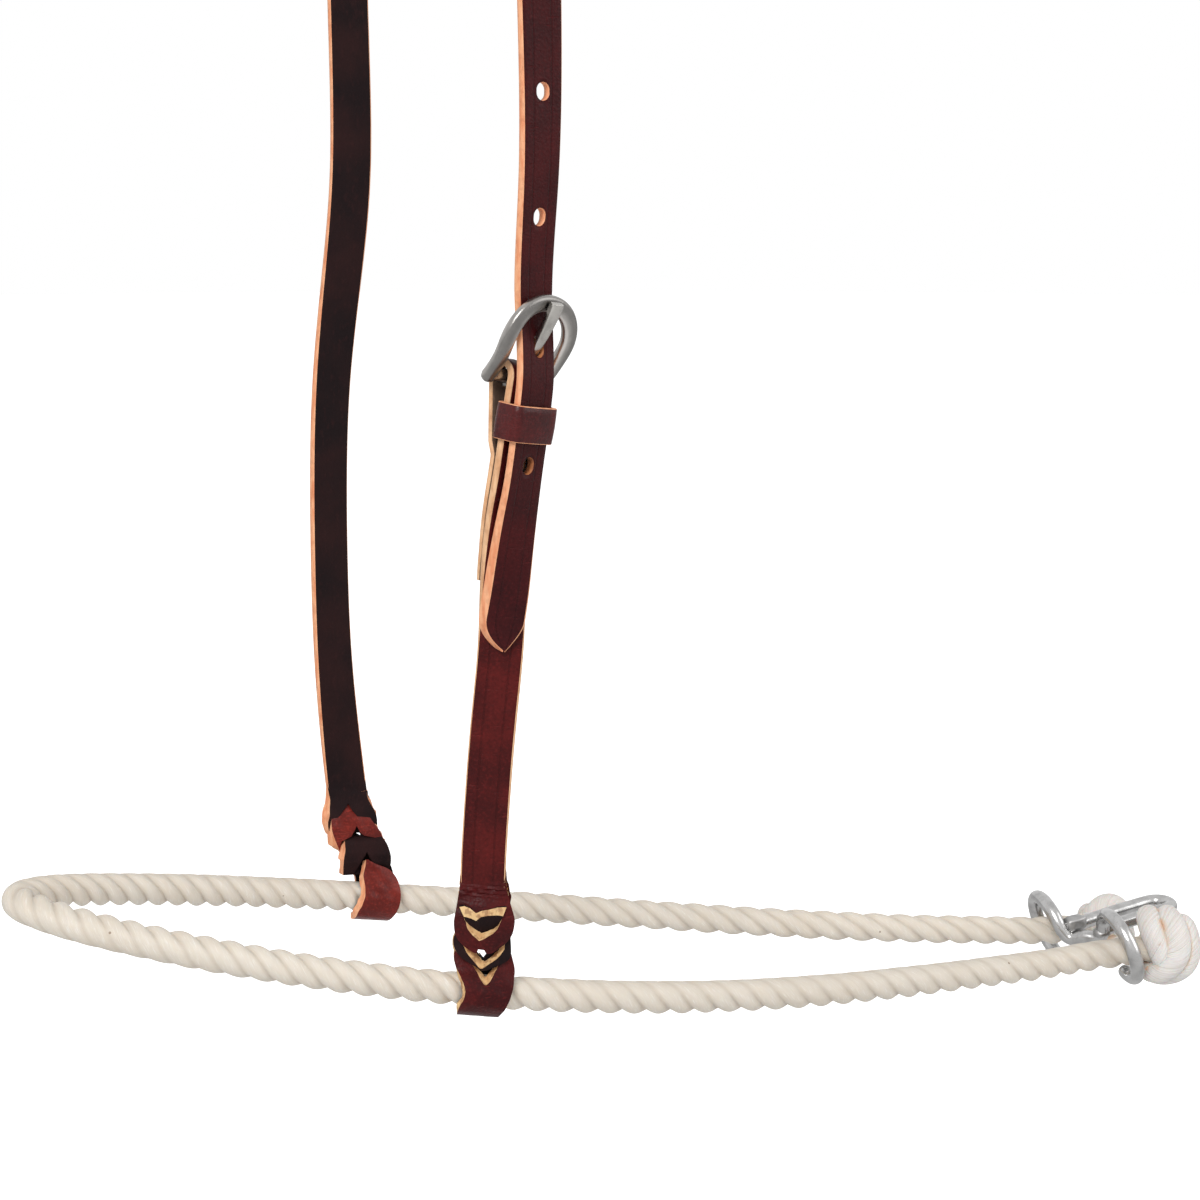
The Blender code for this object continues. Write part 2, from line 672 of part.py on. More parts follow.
def build_buckle_frame(finish):
    centre, across, along, face = lean_axes()
    half = [
        (BAR_HALF_LENGTH, -BAR_RADIUS), (BAR_HALF_LENGTH, 0.10 * FRAME_LENGTH),
        (BAR_HALF_LENGTH + 0.35 * (FRAME_HALF_WIDTH - BAR_HALF_LENGTH), 0.32 * FRAME_LENGTH),
        (FRAME_HALF_WIDTH, 0.58 * FRAME_LENGTH), (0.78 * FRAME_HALF_WIDTH, 0.84 * FRAME_LENGTH),
        (0.42 * FRAME_HALF_WIDTH, 0.965 * FRAME_LENGTH), (0.0, FRAME_LENGTH),
    ]
    outline = [(-a, b) for a, b in half] + [(a, b) for a, b in half[-2::-1]]
    path = smooth_curve(outline, 41)
    along_path = np.gradient(path, axis=0)
    rings = []
    for (a, b), (da, db) in zip(path, along_path):
        step = math.hypot(da, db)
        outwards = (across * db - along * da) / step
        share = min(max(b / FRAME_LENGTH, 0.0), 1.0)
        wide = FRAME_STOCK_WIDTH * (0.8 + 0.2 * share) / 2
        deep = FRAME_STOCK_DEPTH * (1.25 - 0.25 * share) / 2
        middle = centre + across * a + along * b + face * FRAME_ARCH * 4 * share * (1 - share)
        rings.append([
            middle + outwards * wide * math.cos(angle) + face * deep * math.sin(angle)
            for angle in (2 * math.pi * k / ROUND_SIDES for k in range(ROUND_SIDES))
        ])
    frame = add_object("buckle_frame", *skin(rings), centre, finish, smooth_angle=50)
    bar = rod("buckle_bar", centre - across * BAR_HALF_LENGTH, centre + across * BAR_HALF_LENGTH, BAR_RADIUS)
    cut(frame, bar, "UNION")


def tongue_route():
    """The tongue's middle line in its own plane: outward and up from the bar."""
    centre, across, along, face = lean_axes()
    outward, rise = frame_axes()[2:]
    rest = centre + along * FRAME_LENGTH + face * (FRAME_STOCK_DEPTH / 2 + GAP + TONGUE_DEPTH / 2)
    rest = rest + along * 1.6 * MM - centre
    tip_out = float(np.dot(rest, outward))
    tip_up = float(np.dot(rest, rise))
    eye = BAR_RADIUS + GAP + TONGUE_EYE_WALL / 2
    return [
        (eye * 0.62, eye * 0.78), (0.34 * tip_out, 0.30 * tip_up), (0.60 * tip_out, 0.53 * tip_up),
        (0.84 * tip_out, 0.79 * tip_up), (tip_out, tip_up),
    ]


def tongue_crossing():
    """Where the tongue's middle passes through the billet: outward and up from the bar."""
    path = smooth_curve(tongue_route(), 60)
    centre, across, outward, rise = frame_axes()
    best = None
    for out, up in path:
        middle = billet_frame(BAR_HEIGHT + up * float(rise[2]))[0]
        miss = abs(np.dot(middle - centre, outward) - out)
        if best is None or miss < best[0]:
            best = (miss, (out, up))
    return best[1]


def build_tongue(finish):
    centre, across, outward, rise = frame_axes()
    inner = BAR_RADIUS + GAP
    outer = inner + TONGUE_EYE_WALL
    rings = []
    for k in range(ROUND_SIDES * 2):
        angle = 2 * math.pi * k / (ROUND_SIDES * 2)
        ray = outward * math.cos(angle) + rise * math.sin(angle)
        rings.append([
            centre + ray * radius + across * side * TONGUE_EYE_WIDTH / 2
            for radius, side in ((inner, -1), (outer, -1), (outer, 1), (inner, 1))
        ])
    tongue = add_object("buckle_tongue", *skin(rings, closed=True), centre, finish)
    path = smooth_curve(tongue_route(), 15)
    steps = np.gradient(path, axis=0)
    shank_rings = []
    for (out, up), (step_out, step_up) in zip(path, steps):
        size = math.hypot(step_out, step_up)
        normal = (outward * step_up - rise * step_out) / size
        wide = TONGUE_WIDTH / 2
        deep = TONGUE_DEPTH / 2
        middle = centre + outward * out + rise * up
        corner = 0.45
        outline = [
            (wide, deep * corner), (wide * corner, deep), (-wide * corner, deep), (-wide, deep * corner),
            (-wide, -deep * corner), (-wide * corner, -deep), (wide * corner, -deep), (wide, -deep * corner),
        ]
        shank_rings.append([middle + across * a + normal * b for a, b in outline])
    shank = add_object("tongue_shank", *skin(shank_rings), centre, None)
    cut(tongue, shank, "UNION")


def build_screws(post_finish, screw_finish):
    for name, height in zip(("lower", "upper"), SCREW_HEIGHTS):
        middle, _, outward, _ = cheek_frame(height)
        outer_face = STRAP_THICKNESS / 2
        inner_face = -fold_offset(height) - FOLD_THICKNESS / 2
        head_inside = middle + outward * (inner_face - GAP)
        mouth = middle + outward * (outer_face - GAP)
        post = rod(f"{name}_screw_post", head_inside - outward * SCREW_HEAD_DEPTH, head_inside,
                   SCREW_HEAD_RADIUS, finish=post_finish)
        barrel = rod(f"{name}_post_barrel", head_inside - outward * SCREW_HEAD_DEPTH / 2, mouth, POST_RADIUS)
        cut(post, barrel, "UNION")
        bore = rod(f"{name}_post_bore", head_inside + outward * POST_FLOOR, mouth + outward * 2 * MM,
                   POST_BORE_RADIUS)
        cut(post, bore)
        seat = middle + outward * (outer_face + GAP)
        screw = rod(f"{name}_screw", seat, seat + outward * SCREW_HEAD_DEPTH, SCREW_HEAD_RADIUS,
                    finish=screw_finish)
        shank = rod(f"{name}_screw_shank", seat + outward * SCREW_HEAD_DEPTH / 2,
                    head_inside + outward * (POST_FLOOR + GAP), SCREW_SHANK_RADIUS)
        cut(screw, shank, "UNION")


def build_keeper(finish):
    middle, across, outward, along = cheek_frame(KEEPER_MIDDLE)
    billet = billet_frame(KEEPER_MIDDLE)[0] - middle
    billet_across = float(np.dot(billet, across))
    low = -STRAP_THICKNESS / 2 - LAYER_SLACK
    high = float(np.dot(billet, outward)) + STRAP_THICKNESS / 2 + KEEPER_CLEARANCE
    left = min(0.0, billet_across) - STRAP_WIDTH / 2 - KEEPER_CLEARANCE
    right = max(0.0, billet_across) + STRAP_WIDTH / 2 + KEEPER_CLEARANCE
    corner_inside = 0.9 * MM
    corner = corner_inside + KEEPER_THICKNESS

    def outline(grow, radius):
        points = []
        for turn, (a, b) in enumerate(((right, high), (left, high), (left, low), (right, low))):
            a += grow if a == right else -grow
            b += grow if b == high else -grow
            middle_a = a - radius if turn in (0, 3) else a + radius
            middle_b = b - radius if turn in (0, 1) else b + radius
            for k in range(4):
                angle = math.pi / 2 * (turn + k / 3)
                points.append((middle_a + radius * math.cos(angle), middle_b + radius * math.sin(angle)))
        return points

    inner = outline(0.0, corner_inside)
    outer = outline(KEEPER_THICKNESS, corner)
    rings = []
    for (inner_a, inner_b), (outer_a, outer_b) in zip(inner, outer):
        rings.append([
            middle + across * a + outward * b + along * up * KEEPER_HEIGHT / 2
            for a, b, up in ((inner_a, inner_b, -1), (outer_a, outer_b, -1),
                             (outer_a, outer_b, 1), (inner_a, inner_b, 1))
        ])
    add_object("keeper", *skin(rings, closed=True), middle, finish)


def hanger_rings(curve, side):
    """Sections of a hanger from under the rope up to the rounded head of its braid."""
    near_pivot, far_pivot, axis = flex_axis()
    pivot = near_pivot if side < 0 else far_pivot
    loop_radius = ROPE_DIAMETER / 2 + LOOP_CLEARANCE + STRAP_THICKNESS
    rope_middle, rope_along = rope_at(0.0, side)
    head_top = HANGER_FLEX_HEIGHT + HANGER_HEAD_RADIUS
    heights = [-loop_radius * math.cos(math.radians(a)) for a in (12, 26, 42, 58, 74, 90)]
    heights += [3 * MM, 6 * MM, 9 * MM, 12 * MM, 15.5 * MM, 18.5 * MM, 22 * MM, 25 * MM, 27.5 * MM,
                29.0 * MM, head_top - 0.9 * MM]
    rings = []
    for height in heights:
        middle = strap_middle(curve, side, max(height, 0.0))
        middle[2] = place(0.0, 0.0, height)[2]
        turn = line_values(curve, max(height, 0.0))[2]
        rope_turn = math.atan2(rope_along[1], rope_along[0])
        share = min(max(height / (9 * MM), 0.0), 1.0)
        if height < 9 * MM:
            middle[:2] = rope_middle[:2] * (1 - share) + middle[:2] * share
        turn = rope_turn * (1 - share) + turn * share
        across = np.array([math.cos(turn), math.sin(turn), 0.0])
        outward = np.array([-math.sin(turn), math.cos(turn), 0.0])
        if height <= 0.0:
            deep = math.sqrt(max(loop_radius ** 2 - height ** 2, 0.0))
            wide = STRAP_WIDTH / 2
        else:
            rise = min(height / (11 * MM), 1.0)
            deep = loop_radius + (BRAID_DEPTH / 2 - loop_radius) * rise * rise * (3 - 2 * rise)
            swell = math.sin(min(height / (14 * MM), 1.0) * math.pi / 2) ** 2
            wide = STRAP_WIDTH / 2 + (BRAID_HALF_WIDTH - STRAP_WIDTH / 2) * swell
        over = height - HANGER_FLEX_HEIGHT
        if over > 0.0:
            middle[:2] = pivot[:2]
            deep *= 1.0 - 0.35 * over / HANGER_HEAD_RADIUS
            askew = math.acos(min(abs(float(np.dot(outward, axis))), 1.0))
            reach = math.sqrt(HANGER_HEAD_RADIUS ** 2 - over ** 2)
            wide = min(wide, (reach - deep * math.sin(askew)) / math.cos(askew))
        edge = min(1.0 * MM, deep * 0.4, wide * 0.4)
        outline = [
            (wide, deep - edge), (wide - edge, deep), (edge - wide, deep), (-wide, deep - edge),
            (-wide, edge - deep), (edge - wide, -deep), (wide - edge, -deep), (wide, edge - deep),
        ]
        rings.append([middle + across * a + outward * b for a, b in outline])
    return rings


def build_hanger(name, curve, side, pivot, finish):
    hanger = add_object(name, *skin(hanger_rings(curve, side)), pivot, finish)
    middle, along = rope_at(0.0, side)
    cut(hanger, rod(f"{name}_rope_cut", middle - along * 14 * MM, middle + along * 14 * MM,
                    ROPE_DIAMETER / 2 + LOOP_CLEARANCE, sides=32))


def ring_centre(side):
    """Centre of the ring on one side, placed by the rope that runs through it."""
    ring_place, rise = (NEAR_RING_PLACE, NEAR_RING_RISE) if side < 0 else (FAR_RING_PLACE, FAR_RING_RISE)
    centre = rope_at(ring_place - NOSE_REACH, side)[0] + np.array([0.0, 0.0, rise])
    centre[1] = side * RING_SIDE
    return centre


def ring_point(side, angle):
    """A point on a ring's middle line; angle 0 is its outer side and a quarter turn is its top."""
    across = np.array([math.sin(RING_TURN), math.cos(RING_TURN), 0.0])
    normal = np.array([math.cos(RING_TURN), -math.sin(RING_TURN), 0.0])
    up = np.array([0.0, 0.0, math.cos(RING_LEAN)]) - normal * math.sin(RING_LEAN)
    return ring_centre(side) + RING_RADIUS * (side * across * math.cos(angle) + up * math.sin(angle))


def ring_run(side, turns=20):
    """The ring from its cut end under the rope, over the outer side and the top, to the bridge."""
    sweep = RING_LEAVE_ANGLE + 2 * math.pi - RING_CUT_ANGLE
    return [ring_point(side, RING_CUT_ANGLE - 2 * math.pi + sweep * k / turns) for k in range(turns + 1)]


def bridge_run(count=11):
    """The wire between the rings, close to the line between their inner sides."""
    near_side = ring_point(-1, math.pi)
    far_side = ring_point(1, math.pi)
    middle = (near_side + far_side) / 2
    near_run = ring_run(-1)
    far_run = ring_run(1)
    dip = np.array([0.0, 0.0, -0.25 * WIRE_RADIUS])
    route = [near_run[-2], near_run[-1], middle * 0.4 + near_side * 0.6 + dip, middle,
             middle * 0.4 + far_side * 0.6 + dip, far_run[-1], far_run[-2]]
    return smooth_curve(route, count + 2)


def ring_wire_path():
    return ring_run(-1)[:-2] + list(bridge_run()) + ring_run(1)[:-2][::-1]


def build_ring_wire(finish):
    vertices, faces = wire(ring_wire_path(), WIRE_RADIUS, ROUND_SIDES)
    middle = (ring_point(-1, math.pi) + ring_point(1, math.pi)) / 2
    add_object("ring_wire", vertices, faces, middle, finish)


def tie_loop_path():
    """The U-shaped loop from the bridge's back, slightly arched, with its round end behind."""
    middle = (ring_point(-1, math.pi) + ring_point(1, math.pi)) / 2
    bridge = bridge_run(60)
    straight = TIE_LOOP_LENGTH - TIE_LOOP_RADIUS

    def at(back, y):
        run = back / TIE_LOOP_LENGTH
        arch = TIE_LOOP_SAG * 4 * run * (1 - run)
        return middle + np.array([back, y, TIE_LOOP_RISE + back * math.tan(TIE_LOOP_PITCH) + arch])

    path = []
    for side in (1, -1):
        start = np.interp(side * TIE_LOOP_RADIUS, bridge[:, 1], bridge[:, 0] - middle[0])
        leg = [at(start + (straight - start) * k / 6, side * TIE_LOOP_RADIUS) for k in range(6)]
        path.append(leg)
    bend = []
    for k in range(13):
        angle = math.pi * k / 12
        bend.append(at(straight + TIE_LOOP_RADIUS * math.sin(angle), TIE_LOOP_RADIUS * math.cos(angle)))
    return path[0] + bend + path[1][::-1]


def build_tie_loop(finish):
    vertices, faces = wire(tie_loop_path(), WIRE_RADIUS, ROUND_SIDES)
    middle = (ring_point(-1, math.pi) + ring_point(1, math.pi)) / 2
    loop = add_object("tie_down_loop", vertices, faces, middle, finish)
    cut(loop, add_object("bridge_seat_cut", *wire(bridge_run(24), WIRE_RADIUS + GAP, ROUND_SIDES), middle, None))


def build_knot(name, side, size, rise, finish):
    """A round stopper knot of the rope's own strands, with a flat seat for the rope's end."""
    end = ROPE_PATH[0] if side < 0 else ROPE_PATH[-1]
    before = ROPE_PATH[3] if side < 0 else ROPE_PATH[-4]
    along = unit(end - before)
    sideways = unit(np.cross((0.0, 0.0, 1.0), along))
    up = np.cross(along, sideways)
    centre = end + along * (GAP + size[0] * KNOT_SEAT) + up * rise
    rings = []
    start = math.acos(KNOT_SEAT)
    bands = 12
    for i in range(bands + 1):
        angle = start + (math.pi - 0.12 - start) * i / bands
        ring = []
        for k in range(ROUND_SIDES * 2):
            turn = 2 * math.pi * k / (ROUND_SIDES * 2)
            lobe = 1.0 + KNOT_LOBE * math.sin(angle) * math.cos(KNOT_STRANDS * turn + 2.2 * angle)
            ring.append(centre - along * size[0] * math.cos(angle)
                        + sideways * size[1] * lobe * math.sin(angle) * math.cos(turn)
                        + up * size[2] * lobe * math.sin(angle) * math.sin(turn))
        rings.append(ring)
    add_object(name, *skin(rings), end, finish, smooth_angle=60)


def main():
    clear_scene()
    leather = material("burgundy_leather", (0.09, 0.018, 0.016), 0.42)
    near_leather = material("near_cheek_leather", (0.10, 0.020, 0.017), 0.42)
    keeper_leather = material("keeper_leather", (0.12, 0.020, 0.016), 0.38)
    near_braid_leather = material("near_braid_leather", (0.12, 0.022, 0.018), 0.45)
    far_braid_leather = material("far_braid_leather", (0.16, 0.028, 0.020), 0.42)
    rope_finish = material("waxed_rope", (0.80, 0.76, 0.66), 0.55)
    near_knot_finish = material("near_knot_strands", (0.88, 0.86, 0.83), 0.75)
    far_knot_finish = material("far_knot_strands", (0.88, 0.84, 0.80), 0.75)
    steel = material("satin_steel", (0.62, 0.61, 0.60), 0.30, 1.0)
    tongue_steel = material("tongue_steel", (0.64, 0.62, 0.60), 0.28, 1.0)
    ring_steel = material("ring_steel", (0.60, 0.60, 0.60), 0.25, 1.0)
    loop_steel = material("tie_loop_steel", (0.60, 0.60, 0.60), 0.25, 1.0)
    post_steel = material("post_steel", (0.60, 0.60, 0.60), 0.30, 1.0)
    screw_steel = material("screw_steel", (0.60, 0.60, 0.60), 0.30, 1.0)

    near_pivot, far_pivot, _ = flex_axis()
    build_crown_strap(leather)
    build_near_cheek(near_leather)
    build_hanger("near_hanger", NEAR_CURVE, -1, near_pivot, near_braid_leather)
    build_hanger("far_hanger", FAR_CURVE, 1, far_pivot, far_braid_leather)
    build_keeper(keeper_leather)
    build_screws(post_steel, screw_steel)
    build_buckle_frame(steel)
    build_tongue(tongue_steel)
    build_rope(rope_finish)
    build_knot("near_end_knot", -1, NEAR_KNOT_SIZE, NEAR_KNOT_RISE, near_knot_finish)
    build_knot("far_end_knot", 1, FAR_KNOT_SIZE, FAR_KNOT_RISE, far_knot_finish)
    build_ring_wire(ring_steel)
    build_tie_loop(loop_steel)


main()
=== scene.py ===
"""The looks of a rope noseband and its leather headstall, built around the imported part.

Everything is in metres, in the part's own frame: the horse faces -X, its left side is -Y, +Z is up.
"""
import math

import bmesh
import bpy
import numpy as np
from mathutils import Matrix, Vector


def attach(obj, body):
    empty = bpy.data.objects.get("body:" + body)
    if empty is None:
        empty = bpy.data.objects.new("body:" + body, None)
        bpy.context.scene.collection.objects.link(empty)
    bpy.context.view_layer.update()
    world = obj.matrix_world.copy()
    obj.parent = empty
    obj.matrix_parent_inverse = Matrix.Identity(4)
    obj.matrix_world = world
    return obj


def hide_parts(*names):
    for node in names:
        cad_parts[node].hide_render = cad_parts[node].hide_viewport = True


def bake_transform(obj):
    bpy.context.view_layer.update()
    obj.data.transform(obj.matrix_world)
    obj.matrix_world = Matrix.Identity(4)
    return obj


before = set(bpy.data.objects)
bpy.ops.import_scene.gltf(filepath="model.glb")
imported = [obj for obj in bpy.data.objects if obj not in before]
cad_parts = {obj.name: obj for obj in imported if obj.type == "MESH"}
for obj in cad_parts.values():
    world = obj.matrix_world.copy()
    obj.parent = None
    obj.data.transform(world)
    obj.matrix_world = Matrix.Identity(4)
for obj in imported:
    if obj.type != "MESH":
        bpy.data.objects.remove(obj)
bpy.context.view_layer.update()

# The camera and the studio: a long lens a little above the rope, to the left of the nose. The
# noseband hangs over a plain pale floor, under one large soft lamp with a weaker one opposite.
CAMERA_PLACE = (-0.24852, -0.69519, -0.19375)
CAMERA_TILT = math.radians(79.902)
CAMERA_TURN = math.radians(-23.356)
CAMERA_LENS = 75.505
FLOOR_HEIGHT = -0.56
FLOOR_RADIUS = 6.0
FLOOR_COLOUR = (0.80, 0.80, 0.80)
FLOOR_LIFT = 0.75
ROOM_LIGHT = 0.46
LAMP_TARGET = (0.02, 0.0, -0.3)


class Value:
    """One value in a shader, so that sums on it read as plain expressions."""

    def __init__(self, finish, socket):
        self.finish = finish
        self.socket = socket

    def other(self, output):
        """Another output of the node that this value comes from."""
        return Value(self.finish, self.socket.node.outputs[output])

    def sum(self, operation, first, second=0.0):
        return self.finish.node("Math", {0: first, 1: second}, operation=operation)

    def __add__(self, other):
        return self.sum("ADD", self, other)

    def __radd__(self, other):
        return self.sum("ADD", other, self)

    def __sub__(self, other):
        return self.sum("SUBTRACT", self, other)

    def __rsub__(self, other):
        return self.sum("SUBTRACT", other, self)

    def __mul__(self, other):
        return self.sum("MULTIPLY", self, other)

    def __abs__(self):
        return self.sum("ABSOLUTE", self)

    def __lt__(self, other):
        return self.sum("LESS_THAN", self, other)


class Finish:
    """The shader of one material, or of the room's world, made node by node."""

    def __init__(self, name, world=None, **constants):
        self.material = world or bpy.data.materials.new(name)
        self.material.use_nodes = True
        self.tree = self.material.node_tree
        self.shader = self.tree.nodes["Background" if world else "Principled BSDF"]
        for socket, value in constants.items():
            self.shader.inputs[socket.replace("_", " ")].default_value = value

    def node(self, kind, values=None, output=0, **settings):
        made = self.tree.nodes.new("ShaderNode" + kind)
        for name, setting in settings.items():
            setattr(made, name, setting)
        for name, value in (values or {}).items():
            if isinstance(value, Value):
                self.tree.links.new(value.socket, made.inputs[name])
            elif isinstance(value, tuple) and made.inputs[name].type == "RGBA":
                made.inputs[name].default_value = (*value, 1.0)
            else:
                made.inputs[name].default_value = value
        return Value(self, made.outputs[output])

    def mix(self, share, first, second):
        return self.node("Mix", {0: share, 6: first, 7: second}, output=2, data_type="RGBA")

    def layered(self, shade, *layers):
        """A colour with others laid over it, each by its own share."""
        for share, colour in layers:
            shade = self.mix(share, shade, colour)
        return shade

    def noise(self, place, scale, detail=3.0):
        """Noise at this scale, or with one scale for each axis."""
        if isinstance(scale, tuple):
            place, scale = self.node("VectorMath", {0: place, 1: scale}, operation="MULTIPLY"), 1.0
        return self.node("TexNoise", {"Vector": place, "Scale": scale, "Detail": detail})

    def drawn_noise(self, length, turn, third, detail):
        """Noise in the piece's own coordinates, drawn out along it."""
        return self.noise(self.node("CombineXYZ", {0: length, 1: turn, 2: third}), 1.0, detail)

    def step(self, value, low, high):
        """0 up to the low value, 1 from the high one and smooth between; a low over the high falls."""
        return self.node("MapRange", {0: value, 1: low, 2: high, 3: 0.0, 4: 1.0},
                         interpolation_type="SMOOTHSTEP")

    def place(self):
        return self.node("TexCoord", output="Object")

    def along_and_round(self):
        """The piece's own coordinates: metres along it first, then round or across it."""
        split = self.node("SeparateXYZ", {0: self.node("TexCoord", output="UV")})
        return split, split.other(1)

    def paint(self, **values):
        for socket, value in values.items():
            self.tree.links.new(value.socket, self.shader.inputs[socket.replace("_", " ")])

    def raised(self, height, distance):
        """A surface that stands up by this height times the distance, in metres."""
        self.paint(Normal=self.node("Bump", {"Distance": distance, "Height": height}))


def add_mesh(name, vertices, faces, finishes, slots=None, uvs=None, smooth_angle=40):
    """A closed mesh with its materials; uvs holds one pair for each corner of each face."""
    mesh = bpy.data.meshes.new(name)
    mesh.from_pydata([tuple(v) for v in vertices], [], faces)
    if uvs is not None:
        layer = mesh.uv_layers.new(name="UVMap")
        layer.data.foreach_set("uv", np.asarray(uvs, np.float32).ravel())
    if slots is not None:
        mesh.polygons.foreach_set("material_index", slots)
    work = bmesh.new()
    work.from_mesh(mesh)
    bmesh.ops.recalc_face_normals(work, faces=work.faces)
    work.to_mesh(mesh)
    work.free()
    for finish in finishes:
        mesh.materials.append(finish.material)
    return add_object(name, mesh, smooth_angle)


def add_object(name, mesh, smooth_angle):
    """An object that is shaded smooth, apart from edges sharper than this angle."""
    mesh.shade_smooth()
    if smooth_angle:
        mesh.set_sharp_from_angle(angle=math.radians(smooth_angle))
    made = bpy.data.objects.new(name, mesh)
    bpy.context.scene.collection.objects.link(made)
    return made


def turns(count):
    """Even angles all the way round."""
    return [2 * math.pi * k / count for k in range(count)]


camera = bpy.data.objects.new("camera", bpy.data.cameras.new("camera"))
camera.location = CAMERA_PLACE
camera.rotation_euler = (CAMERA_TILT, 0.0, CAMERA_TURN)
camera.data.lens = CAMERA_LENS
camera.data.clip_start = 0.01
bpy.context.scene.collection.objects.link(camera)
bpy.context.scene.camera = camera
bpy.context.scene.view_settings.view_transform = "Standard"

floor_finish = Finish("studio_floor", Base_Color=(*FLOOR_COLOUR, 1.0), Roughness=0.9, Emission_Strength=1.0)
floor_finish.paint(Emission_Color=floor_finish.node("LightPath", output="Is Camera Ray") * FLOOR_LIFT)
rim = turns(96)
floor = add_mesh(
    "floor", [(FLOOR_RADIUS * math.cos(a), FLOOR_RADIUS * math.sin(a), FLOOR_HEIGHT) for a in rim],
    [tuple(range(len(rim)))], [floor_finish],
)

room = bpy.data.worlds.new("room")
bpy.context.scene.world = room
room_finish = Finish("room", world=room)
shown = rays = room_finish.node("LightPath", output="Is Camera Ray")
for kind in ("Is Glossy Ray", "Is Transmission Ray"):
    shown = shown + rays.other(kind)
room_finish.paint(Color=ROOM_LIGHT + shown * (1.0 - ROOM_LIGHT))

for name, place, power, size in (
    ("key_lamp", (-1.3, -1.5, 1.2), 44.0, 1.1),
    ("fill_lamp", (1.6, -1.1, 0.5), 11.0, 1.4),
):
    lamp = bpy.data.objects.new(name, bpy.data.lights.new(name, "AREA"))
    lamp.data.energy = power
    lamp.data.size = size
    lamp.location = place
    lamp.rotation_euler = (Vector(LAMP_TARGET) - Vector(place)).to_track_quat("-Z", "Y").to_euler()
    bpy.context.scene.collection.objects.link(lamp)

# The rope: one length of three-strand rope, laid right-handed, waxed until its strands are smooth and
# half sunk into each other. It runs from the near knot round the nose to the far knot.
CROWN_BACK = 0.005
HEADSTALL_DROP = 0.430
NOSE_REACH = 0.1225
ROPE_DROOP = math.radians(10.8)
ROPE_LIFT = 0.262
ROPE_ROUTE = [
    (0.0, 0.0), (4.0, 8.9), (16.0, 19.6), (36.0, 30.1), (70.0, 41.8), (120.0, 49.8),
    (180.0, 48.8), (250.0, 37.4), (310.0, 24.4), (337.0, 19.2), (356.0, 16.9), (370.3, 18.4),
]
ROPE_ENDS = ((-0.0034, 0.0020), (0.0006, -0.0010))
END_LENGTH = 0.045
STRANDS = 3
STRAND_RADIUS = 0.00295
STRAND_REACH = 0.00190
# The strands' lay by the distance from the nose: it opens towards the knots
ROPE_LAY = [
    (0.0, 0.0212), (0.080, 0.0212), (0.140, 0.0219), (0.185, 0.0242), (0.250, 0.0270), (0.300, 0.0278),
    (0.400, 0.0250),
]
ROPE_PHASE = 1.05
ROPE_BEND = 0.085
ROPE_SIDES = 54
ROPE_RINGS = 1000
ROPE_TAIL = 0.007
ROPE_UNEVENNESS = 0.012
UNEVEN_WAVES = (97.0, 41.0)
# The wax: how much of a groove it fills, where it starts on top of the near rope and ends on the far one,
# how much of it is lost there, and by how much it turns from the top to the outside at the nose
WAX_SHARE = 0.90
NEAR_WAX = 0.07
FAR_WAX = 0.12
WAX_RUN = 0.12
FAR_WAX_LOSS = 0.85
NEAR_NOSE_TURN = 0.45
FAR_NOSE_TURN = 0.5
WAX_EDGE = 0.1
CARRY_START = (0.13, 0.91, 0.39)
MM = 0.001


def unit(vector):
    vector = np.asarray(vector, float)
    return vector / np.linalg.norm(vector)


def ramp(value, start, length):
    """0 up to the start, 1 from the start and this length on, and straight between."""
    return min(max((value - start) / length, 0.0), 1.0)


def ease(share):
    """The same share from 0 to 1 with a soft start and end."""
    return share * share * (3 - 2 * share)


def dome(steps, length):
    """The height of a round end this many steps in from its tip, out of a length in steps."""
    return math.sqrt(1 - (1 - min(steps / length, 1.0)) ** 2)


def runs(points):
    """The distance along a line at each of its points."""
    return np.concatenate([[0.0], np.cumsum(np.linalg.norm(np.diff(points, axis=0), axis=1))])


def at_runs(points, run, wanted):
    """The points of a line at these distances along it."""
    return np.stack([np.interp(wanted, run, points[:, k]) for k in range(points.shape[1])], axis=1)


def even(points, count):
    """The same line with its points at an even step, and their distances along it."""
    run = runs(points)
    wanted = np.linspace(0.0, run[-1], count)
    return at_runs(points, run, wanted), wanted


def smooth_curve(points, count):
    """Even points on a natural cubic spline through the given ones."""
    points = np.asarray(points, float)
    reach = runs(points)
    step = np.diff(reach)
    size = len(points)
    matrix = np.zeros((size, size))
    right = np.zeros_like(points)
    matrix[0, 0] = matrix[-1, -1] = 1.0
    for i in range(1, size - 1):
        matrix[i, i - 1:i + 2] = step[i - 1], 2.0 * (step[i - 1] + step[i]), step[i]
        right[i] = 6.0 * ((points[i + 1] - points[i]) / step[i] - (points[i] - points[i - 1]) / step[i - 1])
    bend = np.linalg.solve(matrix, right)
    fine = []
    for distance in np.linspace(0.0, reach[-1], 20 * size):
        i = min(max(int(np.searchsorted(reach, distance)) - 1, 0), size - 2)
        after = (distance - reach[i]) / step[i]
        before = 1.0 - after
        lift = (before ** 3 - before) * bend[i] + (after ** 3 - after) * bend[i + 1]
        fine.append(before * points[i] + after * points[i + 1] + lift * step[i] ** 2 / 6.0)
    return even(np.array(fine), count)[0]


def place(x, y, height):
    """A point from its place behind the hangers, its side and its height over the rope line."""
    return np.array([x - CROWN_BACK, y, height - HEADSTALL_DROP])


